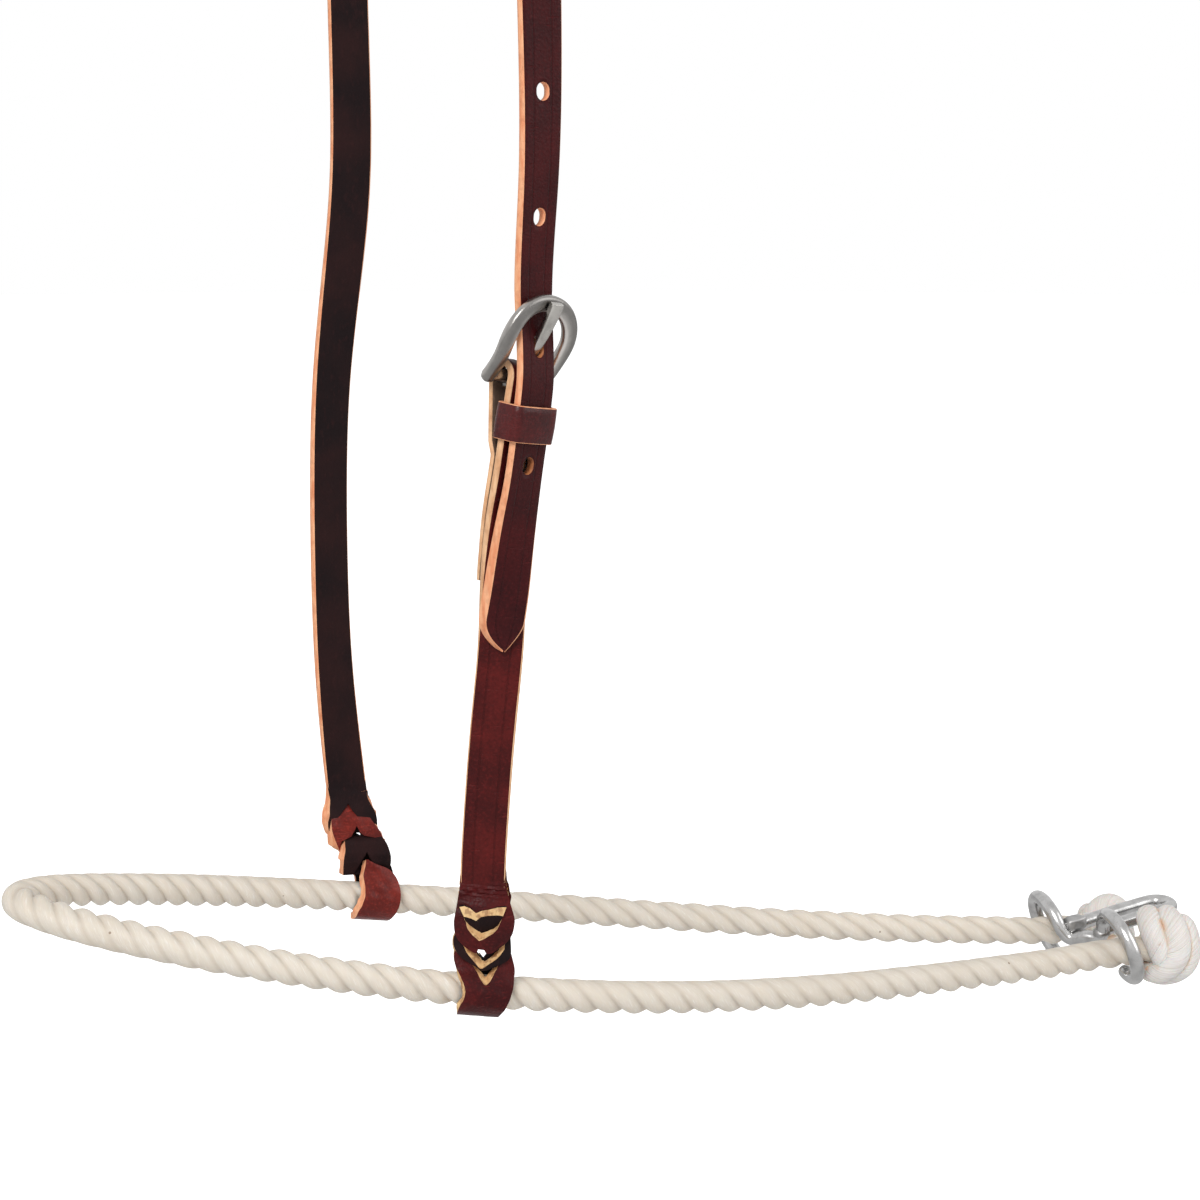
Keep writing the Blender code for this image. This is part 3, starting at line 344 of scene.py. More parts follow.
def rope_route():
    halves = ([], [])
    end = ROPE_ROUTE[-1][0] * MM
    for behind_nose, half_width in ROPE_ROUTE:
        x = behind_nose * MM - NOSE_REACH
        height = -math.tan(ROPE_DROOP) * x + ROPE_LIFT * x * x
        share = max(0.0, 1.0 - (end - behind_nose * MM) / END_LENGTH) ** 2
        for half, side, (shift, rise) in zip(halves, (-1, 1), ROPE_ENDS):
            half.append(place(x + share * shift, side * half_width * MM, height + share * rise))
    return halves[0][:0:-1] + halves[1]


ROPE_PATH = smooth_curve(rope_route(), 1240)


def carried(path):
    """Directions along a path, with two directions round it that are carried along without twist."""
    along = np.array([unit(step) for step in np.gradient(path, axis=0)])
    side = unit(np.cross(along[0], CARRY_START))
    sides = []
    for direction in along:
        side = unit(side - direction * np.dot(side, direction))
        sides.append(side)
    sides = np.array(sides)
    return along, sides, np.cross(along, sides)


def around(middle, first, second, count, powers=(1.0, 1.0)):
    """A ring of points on an oval; powers under 1 make it squarer."""
    return [
        middle + first * squared(math.cos(a), powers[0]) + second * squared(math.sin(a), powers[1])
        for a in turns(count)
    ]


def squared(value, power):
    return math.copysign(abs(value) ** power, value)


def rings_mesh(rings, closed=False, lengths=None):
    """Vertices, faces and coordinates of a skin through rings; open runs get flat ends."""
    count = len(rings)
    sides = len(rings[0])
    if lengths is None:
        lengths = runs(np.array([np.mean(ring, axis=0) for ring in rings]))
    faces = []
    uvs = []
    for i in range(count if closed else count - 1):
        here = i * sides
        after = ((i + 1) % count) * sides
        u = (lengths[i], lengths[min(i + 1, count - 1)])
        for k in range(sides):
            n = (k + 1) % sides
            faces.append((here + k, here + n, after + n, after + k))
            v = (k / sides, (k + 1) / sides)
            uvs += [(u[0], v[0]), (u[0], v[1]), (u[1], v[1]), (u[1], v[0])]
    if not closed:
        for start, length in ((0, lengths[0]), ((count - 1) * sides, lengths[-1])):
            faces.append(tuple(range(start, start + sides)))
            uvs += [(length, k / sides) for k in range(sides)]
    return [v for ring in rings for v in ring], faces, uvs


def skin(name, rings, finishes, closed=False, slots=None, smooth_angle=40):
    vertices, faces, uvs = rings_mesh(rings, closed)
    return add_mesh(name, vertices, faces, finishes, slots=slots, uvs=uvs, smooth_angle=smooth_angle)


def rope_colour(name, cream, groove_shade, wax):
    """Waxed strands: pale on the crest with painted shade in the grooves, fine yarns whose lighter streaks
    are partly painted sheen, painted sheen flecks on the crests and a few dark specks.
    """
    finish = Finish(name, Roughness=0.42, Subsurface_Weight=0.22, Subsurface_Scale=0.0016,
                    Subsurface_Radius=(1.0, 0.75, 0.5))
    length, turn = finish.along_and_round()
    strand = finish.node("Math", {0: turn * STRANDS}, operation="FRACT")
    # low is 1 in the grooves between the strands: painted shade darkens the cream there, and the painted
    # sheen flecks keep to the crests
    low = abs(strand - 0.5) * 2.0
    spot = finish.place()
    # Fine yarn streaks along the strands; their lighter colour is partly painted sheen
    yarn_and_sheen = finish.drawn_noise(length * 110.0, turn * 150.0, 0.0, 4.0)
    # Painted sheen: short pale flecks along the strands' crests
    painted_sheen_fleck = finish.drawn_noise(length * 420.0, turn * 130.0, 3.0, 3.0)
    patch = finish.noise(spot, 55.0)
    cells = finish.node("TexVoronoi", {"Vector": spot, "Scale": 260.0})
    rare = finish.node("SeparateColor", {0: cells.other(1)})
    speck = (cells < 0.10) * (rare < 0.035)
    shade = finish.layered(
        cream, (finish.step(low, 0.55, 1.0) * 0.5, groove_shade), (finish.step(patch, 0.35, 0.75) * 0.6, wax),
        (finish.step(yarn_and_sheen, 0.5, 0.8) * 0.3, (0.90, 0.88, 0.83)),
        (finish.step(painted_sheen_fleck, 0.56, 0.70) * finish.step(low, 0.9, 0.5) * 0.6, (0.95, 0.94, 0.91)),
        (speck * 0.7, (0.20, 0.11, 0.05)),
    )
    finish.paint(Base_Color=shade, Roughness=0.36 + patch * 0.22)
    finish.raised(yarn_and_sheen * 0.8 + patch * 0.4, 0.00022)
    return finish


rope_finish = rope_colour("waxed_rope", (0.715, 0.650, 0.560), (0.55, 0.47, 0.38), (0.67, 0.59, 0.49))

head = [ROPE_PATH[0] + unit(ROPE_PATH[0] - ROPE_PATH[3]) * ROPE_TAIL]
tail = [ROPE_PATH[-1] + unit(ROPE_PATH[-1] - ROPE_PATH[-4]) * ROPE_TAIL]
rope_line, run = even(np.vstack([head, ROPE_PATH, tail]), ROPE_RINGS)
from_nose = np.abs(run - run[-1] / 2)
lays = np.interp(from_nose, *zip(*ROPE_LAY))
laid = ROPE_PHASE + np.concatenate([[0.0], np.cumsum(2 * math.pi * np.diff(run) / lays[1:])])
along, sides, ups = carried(rope_line)
turn = np.array(turns(ROPE_SIDES))
off_crest = (turn + math.pi / STRANDS) % (2 * math.pi / STRANDS) - math.pi / STRANDS
lobe = STRAND_REACH * np.cos(off_crest)
lobe += np.sqrt(STRAND_RADIUS ** 2 - (STRAND_REACH * np.sin(off_crest)) ** 2)
crest = STRAND_REACH + STRAND_RADIUS
rings = []
for i, middle in enumerate(rope_line):
    wound = turn + laid[i]
    first, second = (wave * run[i] for wave in UNEVEN_WAVES)
    swell = 1.0 + ROPE_UNEVENNESS * math.sin(first) * math.sin(second + 1.0)
    at_nose = math.exp(-((from_nose[i] / ROPE_BEND) ** 2))
    # The wax has filled the grooves round the outside of the nose, and on top further back
    if run[i] < run[-1] / 2:
        rise = ramp(from_nose[i], NEAR_WAX, WAX_RUN) - NEAR_NOSE_TURN * at_nose
    else:
        rise = 1.0 - FAR_WAX_LOSS * ramp(from_nose[i], FAR_WAX, WAX_RUN)
        rise = (1.0 - FAR_NOSE_TURN * at_nose) * rise
    filled_way = np.cross((0.0, 0.0, 1.0), along[i]) * at_nose + np.array([0.0, 0.0, rise])
    strength = min(float(np.linalg.norm(filled_way)), 1.0)
    outwards = np.cos(wound)[:, None] * sides[i] + np.sin(wound)[:, None] * ups[i]
    facing = np.clip(outwards @ unit(filled_way) + WAX_EDGE, 0.0, 1.0 - WAX_EDGE)
    filled = strength * facing / (1.0 - WAX_EDGE)
    reach = swell * (crest - (crest - lobe) * (1.0 - WAX_SHARE * ease(filled)))
    rings.append(middle + reach[:, None] * outwards)
vertices, faces, uvs = rings_mesh(rings, lengths=run)
uvs = [(u, v + 0.5 / STRANDS) for u, v in uvs]
rope = add_mesh("laid_rope", vertices, faces, [rope_finish], uvs=uvs, smooth_angle=80)
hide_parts("noseband_rope")
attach(rope, "noseband")


# The crown strap: one long strap of burgundy bridle leather from the far braid over the poll to the
# pointed billet. Its edges are left natural, its grain side is waxed and has a tooled line at each side.
STRAP_WIDTH = 0.0127
STRAP_THICKNESS = 0.0024
EDGE_ROUND = 0.00035
EDGE_BULGE = 0.00005
STRAP_STEP = 0.0025
TOOLED_SHARE = 0.24
LAYER_SLACK = 0.00035
STRAP_END = 0.0245
# Where each cheek bends when the hangers turn: it follows them below, and the headstall above
FAR_BLEND = (0.037, 0.056)
NEAR_BLEND = (0.036, 0.056)
CROWN_SPREAD = 0.130
CROWN_TURN = math.radians(4.7)
CROWN_REST = 0.020
CROWN_SPRING = HEADSTALL_DROP - CROWN_SPREAD / 2 - 0.008
BAR_HEIGHT = 0.1754
BILLET_END = 0.1005
BILLET_STAND_OFF = 0.0042
BILLET_LIFT_START = 0.022
BILLET_LIFT_RUN = 0.026
BILLET_FADE = 0.022
BILLET_TIP = 0.0092
TIP_BEVEL = 0.0016
TIP_BEVEL_LENGTH = 0.055
# The tip's right and left edge: the share of the half width that is left at the very end, and how round
TIP_RIGHT = (0.36, 0.80)
TIP_LEFT = (-0.05, 0.90)
BILLET_HOLES = (0.1528, 0.2191, 0.2520)
HOLE_RADIUS = 0.0021
HOLE_HEIGHT = 0.0049
TONGUE_HOLE_WIDTH = 0.0036
TONGUE_HOLE_LENGTH = 0.0066
TONGUE_HOLE_SHIFT = 0.85
PUNCH_REACH = 0.004
TONGUE_PUNCH_REACH = 0.005
NEAR_LINE = [
    (0, 0.0, 0.0, -4), (12, -1.1, 0.03, -10), (22, -1.5, 0.06, -15), (34, -1.5, 0.08, -21),
    (50, -0.6, 0.10, -26), (79, 1.4, 0.20, -27), (97, 2.9, 0.28, -25), (113, 3.3, 0.37, -11),
    (128, 3.5, 0.43, 6), (140, 4.2, 0.49, 17), (150, 5.3, 0.55, 23), (162, 7.0, 0.60, 23),
    (170, 8.3, 0.62, 23), (175.4, 9.2, 0.63, 23),
]
FAR_LINE = [
    (0, 0.8, 0.0, 3), (12, -2.9, 0.08, 0), (22, -6.3, 0.20, -3), (34, -7.9, 0.30, -4),
    (50, -9.1, 0.40, 2), (79, -10.6, 0.54, 12), (110, -10.6, 0.67, 15), (140, -9.8, 0.76, 15),
    (165, -8.2, 0.81, 13), (196, -4.2, 0.87, 5), (227, -0.4, 0.93, -2), (262, 0.4, 0.98, 1),
    (300, 0.0, 1.0, 4), (365, -0.3, 1.0, 4.7),
]
BILLET_LINE = [
    (101, 1.2, 0.45, -24), (113, 2.7, 0.51, -11), (128, 4.6, 0.62, 6), (140, 6.0, 0.70, 17),
    (150, 7.3, 0.79, 23), (170, 9.7, 0.80, 23), (187, 10.9, 0.71, 24), (200, 10.6, 0.76, 23),
    (228, 11.0, 0.96, 19), (262, 11.4, 1.0, 12), (300, 10.8, 1.0, 7), (365, 10.3, 1.0, 4.7),
]


def rope_at(x, side):
    """Centre and direction (towards the knot) of the rope on one side at a place behind the hangers."""
    half = ROPE_PATH[ROPE_PATH[:, 1] * side > 0]
    if side < 0:
        half = half[::-1]

    def point(where):
        return np.array([where, *(np.interp(where, half[:, 0], half[:, k]) for k in (1, 2))])

    middle = point(x - CROWN_BACK)
    return middle, unit(point(x - CROWN_BACK + 2 * MM) - middle)


def smooth_line(line):
    """A strap's line from its table, in metres and radians, at many more heights."""
    return smooth_curve(line, 400) * np.array([MM, MM, 1.0, math.radians(1.0)])


NEAR_CURVE = smooth_line(NEAR_LINE)
FAR_CURVE = smooth_line(FAR_LINE)
BILLET_CURVE = smooth_line(BILLET_LINE)


def line_values(curve, height):
    """Place behind the hangers, half spread and turn of a strap's face at a height."""
    x, share, turned = (np.interp(height, curve[:, 0], curve[:, k]) for k in (1, 2, 3))
    low = -rope_at(0.0, -1)[0][1]
    return x, low + (CROWN_SPREAD / 2 - low) * share, turned


def strap_middle(curve, side, height):
    x, spread, _ = line_values(curve, height)
    return place(x, side * spread, height)


def strap_frame(curve, side, height):
    """Middle of a cheek strap at a height, with its directions across, outward and along (up)."""
    reach = 2 * MM
    low = min(max(height - reach, 0.0), curve[-1, 0] - 2 * reach)
    upward = unit(strap_middle(curve, side, low + 2 * reach) - strap_middle(curve, side, low))
    turned = line_values(curve, height)[2]
    across = np.array([math.cos(turned), math.sin(turned), 0.0])
    across = unit(across - upward * np.dot(across, upward))
    return strap_middle(curve, side, height), across, np.cross(upward, across) * side, upward


def cheek_frame(height):
    return strap_frame(NEAR_CURVE, -1, height)


def billet_frame(height):
    """Middle of the billet at a height, with its directions across, outward and along (up)."""
    x, spread, turned = line_values(BILLET_CURVE, height)
    if height <= BAR_HEIGHT:
        under, across, outward, upward = cheek_frame(height)
        pressed = STRAP_THICKNESS + LAYER_SLACK
        share = ease(ramp(height, BILLET_END + BILLET_LIFT_START, BILLET_LIFT_RUN))
        middle = under + outward * (pressed + (BILLET_STAND_OFF - pressed) * share)
        middle = middle + across * (x - CROWN_BACK - middle[0]) / across[0]
        return middle, across, outward, upward
    low = line_values(BILLET_CURVE, BAR_HEIGHT)[1]
    start = -billet_frame(BAR_HEIGHT)[0][1]
    fade = max(0.0, 1.0 - (height - BAR_HEIGHT) / BILLET_FADE)
    rise = unit(cheek_frame(BAR_HEIGHT)[3] * fade + np.array([0.0, 0.0, 1.0 - fade]))
    across = np.array([math.cos(turned), math.sin(turned), 0.0])
    across = unit(across - rise * np.dot(across, rise))
    return place(x, -spread - (start - low) * fade, height), across, np.cross(across, rise), rise


def crown_path():
    """Middles and width directions of the whole crown strap, from the far braid to the billet's tip."""
    rows = [strap_frame(FAR_CURVE, 1, height)[:2] for height in np.linspace(STRAP_END, CROWN_SPRING, 150)]
    far_side = np.array([-math.sin(CROWN_TURN), math.cos(CROWN_TURN), 0.0])
    across = np.array([math.cos(CROWN_TURN), math.sin(CROWN_TURN), 0.0])
    radius = CROWN_SPREAD / 2
    flat = CROWN_REST / 2
    for side in (1, -1):
        for angle in np.linspace(0.0, math.pi / 2, 401)[::side]:
            reach = side * (flat + (radius - flat) * math.cos(angle))
            height = STRAP_THICKNESS / 2 - radius * (1 - math.sin(angle))
            rows.append((far_side * reach + np.array([0.0, 0.0, height]), across))
    rows += [billet_frame(height)[:2] for height in np.linspace(CROWN_SPRING, BILLET_END, 180)]
    return np.array([row[0] for row in rows]), np.array([row[1] for row in rows])


def strap_mesh(name, middles, acrosses, widths, thicknesses, finishes, grain_side=1, bevels=None):
    """A flat strap with rounded edges: grain on one face, flesh on the other, cut leather between.

    A bevel takes that much off the face at the front edge, so that more of the cut shows.
    """
    rings = []
    run = runs(middles)
    shares = np.linspace(1.0, -1.0, 11)
    if bevels is None:
        bevels = [0.0] * len(widths)
    for middle, step, across, width, thickness, bevel in zip(
            middles, np.gradient(middles, axis=0), acrosses, widths, thicknesses, bevels):
        step = unit(step)
        across = unit(across - step * np.dot(across, step))
        through = np.cross(step, across)
        half = width / 2
        deep = thickness / 2
        edge = min(EDGE_ROUND, half * 0.3, deep * 0.4)
        flat = half - edge
        outline = [(flat * s + bevel * (1 - s) / 2, deep) for s in shares]
        outline += [(-half + 0.9 * bevel, deep - edge), (0.45 * bevel - half - EDGE_BULGE, 0.0)]
        outline += [(-half, edge - deep)] + [(-flat * s, -deep) for s in shares]
        outline += [(half, edge - deep), (half + EDGE_BULGE, 0.0), (half, deep - edge)]
        rings.append([middle + across * a + through * b for a, b in outline])
    vertices, faces, _ = rings_mesh(rings)
    front, back = (0, 1) if grain_side > 0 else (1, 0)
    face_kinds = [front] * 10 + [2] * 4 + [back] * 10 + [2] * 4
    sides = len(face_kinds)
    slots = face_kinds * (len(rings) - 1) + [2, 2]
    sideways = STRAP_WIDTH / 2 * np.concatenate([shares, np.zeros(3), -shares, np.zeros(3)])
    uvs = []
    for i in range(len(rings) - 1):
        for k in range(sides):
            here, after = sideways[k], sideways[(k + 1) % sides]
            uvs += [(run[i], here), (run[i], after), (run[i + 1], after), (run[i + 1], here)]
    uvs += [(run[0], 0.0)] * sides + [(run[-1], 0.0)] * sides
    return add_mesh(name, vertices, faces, finishes, slots=slots, uvs=uvs, smooth_angle=50)


def carve(target, cutters):
    """Cuts these solids out of a mesh for good, with their own finish on the walls that they leave."""
    for cutter in cutters:
        change = target.modifiers.new("cut", "BOOLEAN")
        change.object = cutter
        change.solver = "EXACT"
        change.material_mode = "TRANSFER"
    bpy.context.view_layer.update()
    cut_mesh = bpy.data.meshes.new_from_object(target.evaluated_get(bpy.context.evaluated_depsgraph_get()))
    target.modifiers.clear()
    target.data = cut_mesh
    for cutter in cutters:
        bpy.data.objects.remove(cutter)
    return target


def slot_cutter(middle, across, upward, outward, radius, length, reach, finish):
    """A round or oblong punch through a strap."""
    rings = []
    for depth in (-reach, reach):
        ring = []
        for k in range(32):
            angle = 2 * math.pi * (k + 0.5) / 32
            rise = math.copysign(length / 2 - radius, math.sin(angle))
            ring.append(middle + outward * depth + across * radius * math.cos(angle)
                        + upward * (radius * math.sin(angle) + rise))
        rings.append(ring)
    return skin("punch", rings, [finish])


def times(colour, factor):
    return tuple(factor * channel for channel in colour)


def grain_leather(name, dark, light, roughness, lined=True, coat=0.0):
    """Waxed grain: fine pebble, short creases across the strap, and darker tooled lines."""
    finish = Finish(name, Roughness=roughness, Coat_Weight=coat, Coat_Roughness=0.3, Specular_IOR_Level=0.11)
    spot = finish.place()
    pebble = finish.node("TexVoronoi", {"Vector": spot, "Scale": 1500.0})
    creased = finish.step(finish.noise(spot, (190.0, 190.0, 1300.0), 5.0), 0.62, 0.72)
    patch = finish.noise(spot, 75.0, 4.0)
    mottle = finish.noise(spot, 1150.0, 4.0)
    shade = finish.layered(
        dark, (finish.step(patch, 0.30, 0.72), light),
        (finish.step(mottle, 0.50, 0.72) * 0.36, times(light, 1.6)),
        (finish.step(mottle, 0.48, 0.30) * 0.3, times(dark, 0.5)), (creased * 0.35, times(light, 2.0)),
    )
    height = pebble * 0.32 - creased * 0.7 + mottle * 0.4
    if lined:
        across = finish.along_and_round()[1]
        line = 1.0 - finish.step(abs(abs(across) - STRAP_WIDTH * TOOLED_SHARE), 0.00004, 0.00045)
        shade = finish.mix(line * 0.32, shade, times(dark, 0.6))
        height = height - line * 0.8
    finish.paint(Base_Color=shade, Roughness=roughness + patch * 0.16 - 0.06)
    finish.raised(height, 0.00020)
    return finish


def flesh_leather(name, dark, light):
    """The dyed flesh side: dull, fibrous and nearly black."""
    finish = Finish(name, Roughness=0.72, Specular_IOR_Level=0.10)
    spot = finish.place()
    fibre = finish.noise(spot, (900.0, 900.0, 420.0), 5.0)
    shade = finish.layered(dark, (finish.step(finish.noise(spot, 60.0), 0.3, 0.75), light),
                           (finish.step(fibre, 0.5, 0.8) * 0.4, times(light, 1.7)))
    finish.paint(Base_Color=shade, Roughness=0.62 + fibre * 0.2)
    finish.raised(fibre, 0.00018)
    return finish


def cut_leather(name, pale, warm, dyed=0.16):
    """A natural cut edge: pale fibres in layers, burnished darker in places and specked with dye."""
    finish = Finish(name, Roughness=0.6, Specular_IOR_Level=0.3)
    spot = finish.place()
    layer = finish.noise(spot, (700.0, 700.0, 160.0), 4.0)
    finish.paint(Base_Color=finish.layered(
        pale, (finish.step(layer, 0.35, 0.7), warm),
        (finish.step(finish.noise(spot, 120.0), 0.60, 0.82) * 0.5, (0.30, 0.10, 0.05)),
        (finish.step(finish.noise(spot, 520.0, 4.0), 0.50, 0.62) * dyed, (0.20, 0.07, 0.035)),
    ))
    finish.raised(layer, 0.00012)
    return finish


strap_grain = grain_leather("burgundy_grain", (0.030, 0.0038, 0.0046), (0.052, 0.0054, 0.0060), 0.40)
strap_flesh = flesh_leather("burgundy_flesh", (0.0085, 0.0042, 0.0048), (0.020, 0.0070, 0.0070))
strap_edge = cut_leather("natural_edge", (0.80, 0.40, 0.22), (0.68, 0.25, 0.12))

path, crosses = crown_path()
for _ in range(3):
    path[1:-1] = 0.25 * path[:-2] + 0.5 * path[1:-1] + 0.25 * path[2:]
run = runs(path)
tip_steps = run[-1] - BILLET_TIP * (1 - np.sin(np.linspace(0.0, math.pi / 2, 16)))
wanted = np.concatenate([np.arange(0.0, run[-1] - BILLET_TIP, STRAP_STEP), tip_steps])
crown_middles = at_runs(path, run, wanted)
crown_crosses = at_runs(crosses, run, wanted)
rounding = np.sin(np.clip((run[-1] - wanted) / BILLET_TIP, 0.0, 1.0) * math.pi / 2)
tip_right, tip_left = (end + (1.0 - end) * rounding ** power for end, power in (TIP_RIGHT, TIP_LEFT))
crown_widths = STRAP_WIDTH * (tip_right + tip_left) / 2
crown_middles += crown_crosses * (STRAP_WIDTH * (tip_right - tip_left) / 4)[:, None]
bevelled = ease(np.clip((TIP_BEVEL_LENGTH - (run[-1] - wanted)) / (0.8 * TIP_BEVEL_LENGTH), 0.0, 1.0))
crown = strap_mesh("crown_strap_leather", crown_middles, crown_crosses, crown_widths,
                   [STRAP_THICKNESS] * len(wanted), [strap_grain, strap_flesh, strap_edge],
                   bevels=np.minimum(TIP_BEVEL * bevelled, 0.5 * crown_widths))


# The buckle's place is needed for the billet's own hole: its bar lies behind the near cheek strap, and
# its frame leans out over the billet.
BAR_RADIUS = 0.0020
BAR_SLACK = 0.0006
FRAME_LEAN = math.radians(22)
FRAME_YAW = math.radians(-5)
FRAME_LENGTH = 0.0229
FRAME_DEPTH = 0.0030
TONGUE_DEPTH = 0.0022
TONGUE_EYE_WALL = 0.0008
TONGUE_OVERHANG = 0.0016
GAP = 0.0003


def buckle_axes():
    """Bar centre, along the bar, outward from the cheek, and up the strap."""
    outer_leg, across, outward, upward = cheek_frame(BAR_HEIGHT)
    return outer_leg - outward * (BAR_RADIUS + BAR_SLACK + STRAP_THICKNESS / 2), across, outward, upward


def frame_axes():
    """The buckle's own directions, turned a little about the strap it hangs on."""
    centre, across, outward, rise = buckle_axes()
    turned = across * math.cos(FRAME_YAW) - outward * math.sin(FRAME_YAW)
    return centre, turned, np.cross(turned, rise), rise


def lean_axes():
    centre, across, outward, rise = frame_axes()
    up_frame = math.cos(FRAME_LEAN) * rise + math.sin(FRAME_LEAN) * outward
    return centre, across, up_frame, math.cos(FRAME_LEAN) * outward - math.sin(FRAME_LEAN) * rise


def tongue_route():
    """The tongue's middle line in its own plane: outward and up from the bar."""
    up_frame, face = lean_axes()[2:]
    outward, rise = frame_axes()[2:]
    rest = up_frame * (FRAME_LENGTH + TONGUE_OVERHANG) + face * (FRAME_DEPTH / 2 + GAP + TONGUE_DEPTH / 2)
    tip_out = float(np.dot(rest, outward))
    tip_up = float(np.dot(rest, rise))
    eye = BAR_RADIUS + GAP + TONGUE_EYE_WALL / 2
    return [
        (eye * 0.62, eye * 0.78), (0.34 * tip_out, 0.30 * tip_up), (0.60 * tip_out, 0.53 * tip_up),
        (0.84 * tip_out, 0.79 * tip_up), (tip_out, tip_up),
    ]


def tongue_crossing():
    """How far up from the bar the tongue's middle passes through the billet."""
    centre, _, outward, rise = frame_axes()
    misses = []
    for out, up in smooth_curve(tongue_route(), 60):
        middle = billet_frame(BAR_HEIGHT + up * float(rise[2]))[0]
        misses.append((abs(np.dot(middle - centre, outward) - out), up))
    return min(misses)[1]


# The holes below the bar and the tongue's hole get a darker cut wall than the open holes above
dark_hole_wall = cut_leather("dark_hole_wall", (0.46, 0.17, 0.06), (0.24, 0.075, 0.03))
punches = []
for height in BILLET_HOLES:
    middle, across, outward, upward = billet_frame(height)
    wall = dark_hole_wall if height < BAR_HEIGHT else strap_edge
    punches.append(slot_cutter(middle, across, upward, outward, HOLE_RADIUS, HOLE_HEIGHT, PUNCH_REACH, wall))
middle, across, outward, upward = billet_frame(BAR_HEIGHT + tongue_crossing() * float(buckle_axes()[3][2]))
middle = middle - across * TONGUE_HOLE_SHIFT * np.dot(middle - buckle_axes()[0], across)
punches.append(slot_cutter(middle, across, upward, outward, TONGUE_HOLE_WIDTH / 2, TONGUE_HOLE_LENGTH,
                           TONGUE_PUNCH_REACH, dark_hole_wall))
carve(crown, punches)
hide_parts("crown_strap")
far_low, far_high = (strap_middle(FAR_CURVE, 1, height) for height in FAR_BLEND)
tuple(far_high)
tuple(far_low)
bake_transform(crown)


# The near cheek strap: the same leather with a yellower cut edge. It comes up from the near braid,
# wraps the buckle's bar and is turned back inside, where two screws hold its thinned end.
FOLD_END = 0.120
FOLD_THICKNESS = 0.0015
FOLD_SLACK = 0.0005
FOLD_CURL = 0.0010
FOLD_CURL_LENGTH = 0.008
LOWER_SCREW_HEIGHT = 0.1532
SCREW_HEAD_RADIUS = 0.0034
KEEPER_THICKNESS = 0.0013
KEEPER_HEIGHT = 0.0100
KEEPER_MIDDLE = 0.1639
KEEPER_TRAVEL = 0.0010
TONGUE_EYE_WIDTH = 0.0036
TONGUE_SLOT_DEPTH = 0.007
LEAST_STEP = 0.0007


def fold_offset(height):
    """How far the turned-back end lies inside the cheek strap's middle."""
    lay = (STRAP_THICKNESS + FOLD_THICKNESS) / 2 + LAYER_SLACK
    beside_bar = 2 * (BAR_RADIUS + BAR_SLACK) + lay - LAYER_SLACK + FOLD_SLACK
    beside_keeper = lay + KEEPER_THICKNESS + LAYER_SLACK
    keeper_low = KEEPER_MIDDLE - KEEPER_HEIGHT / 2
    heights, offsets = zip(
        (FOLD_END, lay + FOLD_CURL), (FOLD_END + FOLD_CURL_LENGTH, lay),
        (LOWER_SCREW_HEIGHT + SCREW_HEAD_RADIUS / 3, lay), (keeper_low - KEEPER_TRAVEL - GAP, beside_keeper),
        (keeper_low, beside_keeper + GAP), (BAR_HEIGHT, beside_bar),
    )
    return np.interp(height, heights, offsets)


near_grain = grain_leather("near_grain", (0.042, 0.0046, 0.0048), (0.088, 0.0080, 0.0074), 0.38)
near_flesh = flesh_leather("near_flesh", (0.10, 0.062, 0.045), (0.17, 0.11, 0.08))
near_edge = cut_leather("near_edge", (0.76, 0.47, 0.27), (0.62, 0.33, 0.17))

rows = []
for height in np.linspace(STRAP_END, BAR_HEIGHT, 150):
    middle, across = cheek_frame(height)[:2]
    rows.append((middle, across, STRAP_THICKNESS))
centre, across, outward, rise = buckle_axes()
for share in np.linspace(0.0, 1.0, 25)[1:-1]:
    angle = math.pi * share
    thickness = STRAP_THICKNESS + (FOLD_THICKNESS - STRAP_THICKNESS) * share
    radius = BAR_RADIUS + BAR_SLACK + thickness / 2 + FOLD_SLACK * share
    middle = centre + outward * radius * math.cos(angle) + rise * radius * math.sin(angle)
    rows.append((middle, across, thickness))
for height in np.linspace(BAR_HEIGHT, FOLD_END, 70):
    middle, across, outward, _ = cheek_frame(height)
    rows.append((middle - outward * fold_offset(height), across, FOLD_THICKNESS))
kept = [rows[0]]
for row in rows[1:-1]:
    if np.linalg.norm(row[0] - kept[-1][0]) > LEAST_STEP:
        kept.append(row)
kept.append(rows[-1])
cheek = strap_mesh(
    "near_cheek_leather", np.array([row[0] for row in kept]), [row[1] for row in kept],
    [STRAP_WIDTH] * len(kept), [row[2] for row in kept], [near_grain, near_flesh, near_edge], grain_side=-1,
)
centre, across, outward, rise = buckle_axes()
low = -(BAR_RADIUS + GAP + TONGUE_EYE_WALL)
high = BAR_RADIUS + BAR_SLACK + STRAP_THICKNESS + 0.001
half = across * (TONGUE_EYE_WIDTH / 2 + 0.0005)
deep = outward * TONGUE_SLOT_DEPTH
slot_rings = [
    [centre + rise * up + half * a + deep * b for a, b in ((-1, -1), (1, -1), (1, 1), (-1, 1))]
    for up in (low, high)
]
carve(cheek, [skin("tongue_slot", slot_rings, [near_edge])])
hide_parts("near_cheek_strap")
near_low, near_high = (strap_middle(NEAR_CURVE, -1, height) for height in NEAR_BLEND)
tuple(near_high)
tuple(near_low)
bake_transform(cheek)


# The two hangers: each strap's end is slit, passed round the rope and pulled through itself, so that
# grain and flesh leaves come through each other's slits. Their cut lips are pale.
LEAF_THICKNESS = 0.0022
LOOP_THICKNESS = 0.0019
HANGER_TURN_HEIGHT = 0.009
NOTCH_DEPTH = 3.6
# The hidden side of a braid: from which depth it is drawn in fully, how much narrower and flatter it is
# there, and how far it is shifted, in millimetres
TUCK_DEPTH = 4.0
TUCK_NARROWING = 0.2
TUCK_FLATTENING = 0.1
TUCK_SHIFT = 1.5
BRAID_SHARPNESS = 42
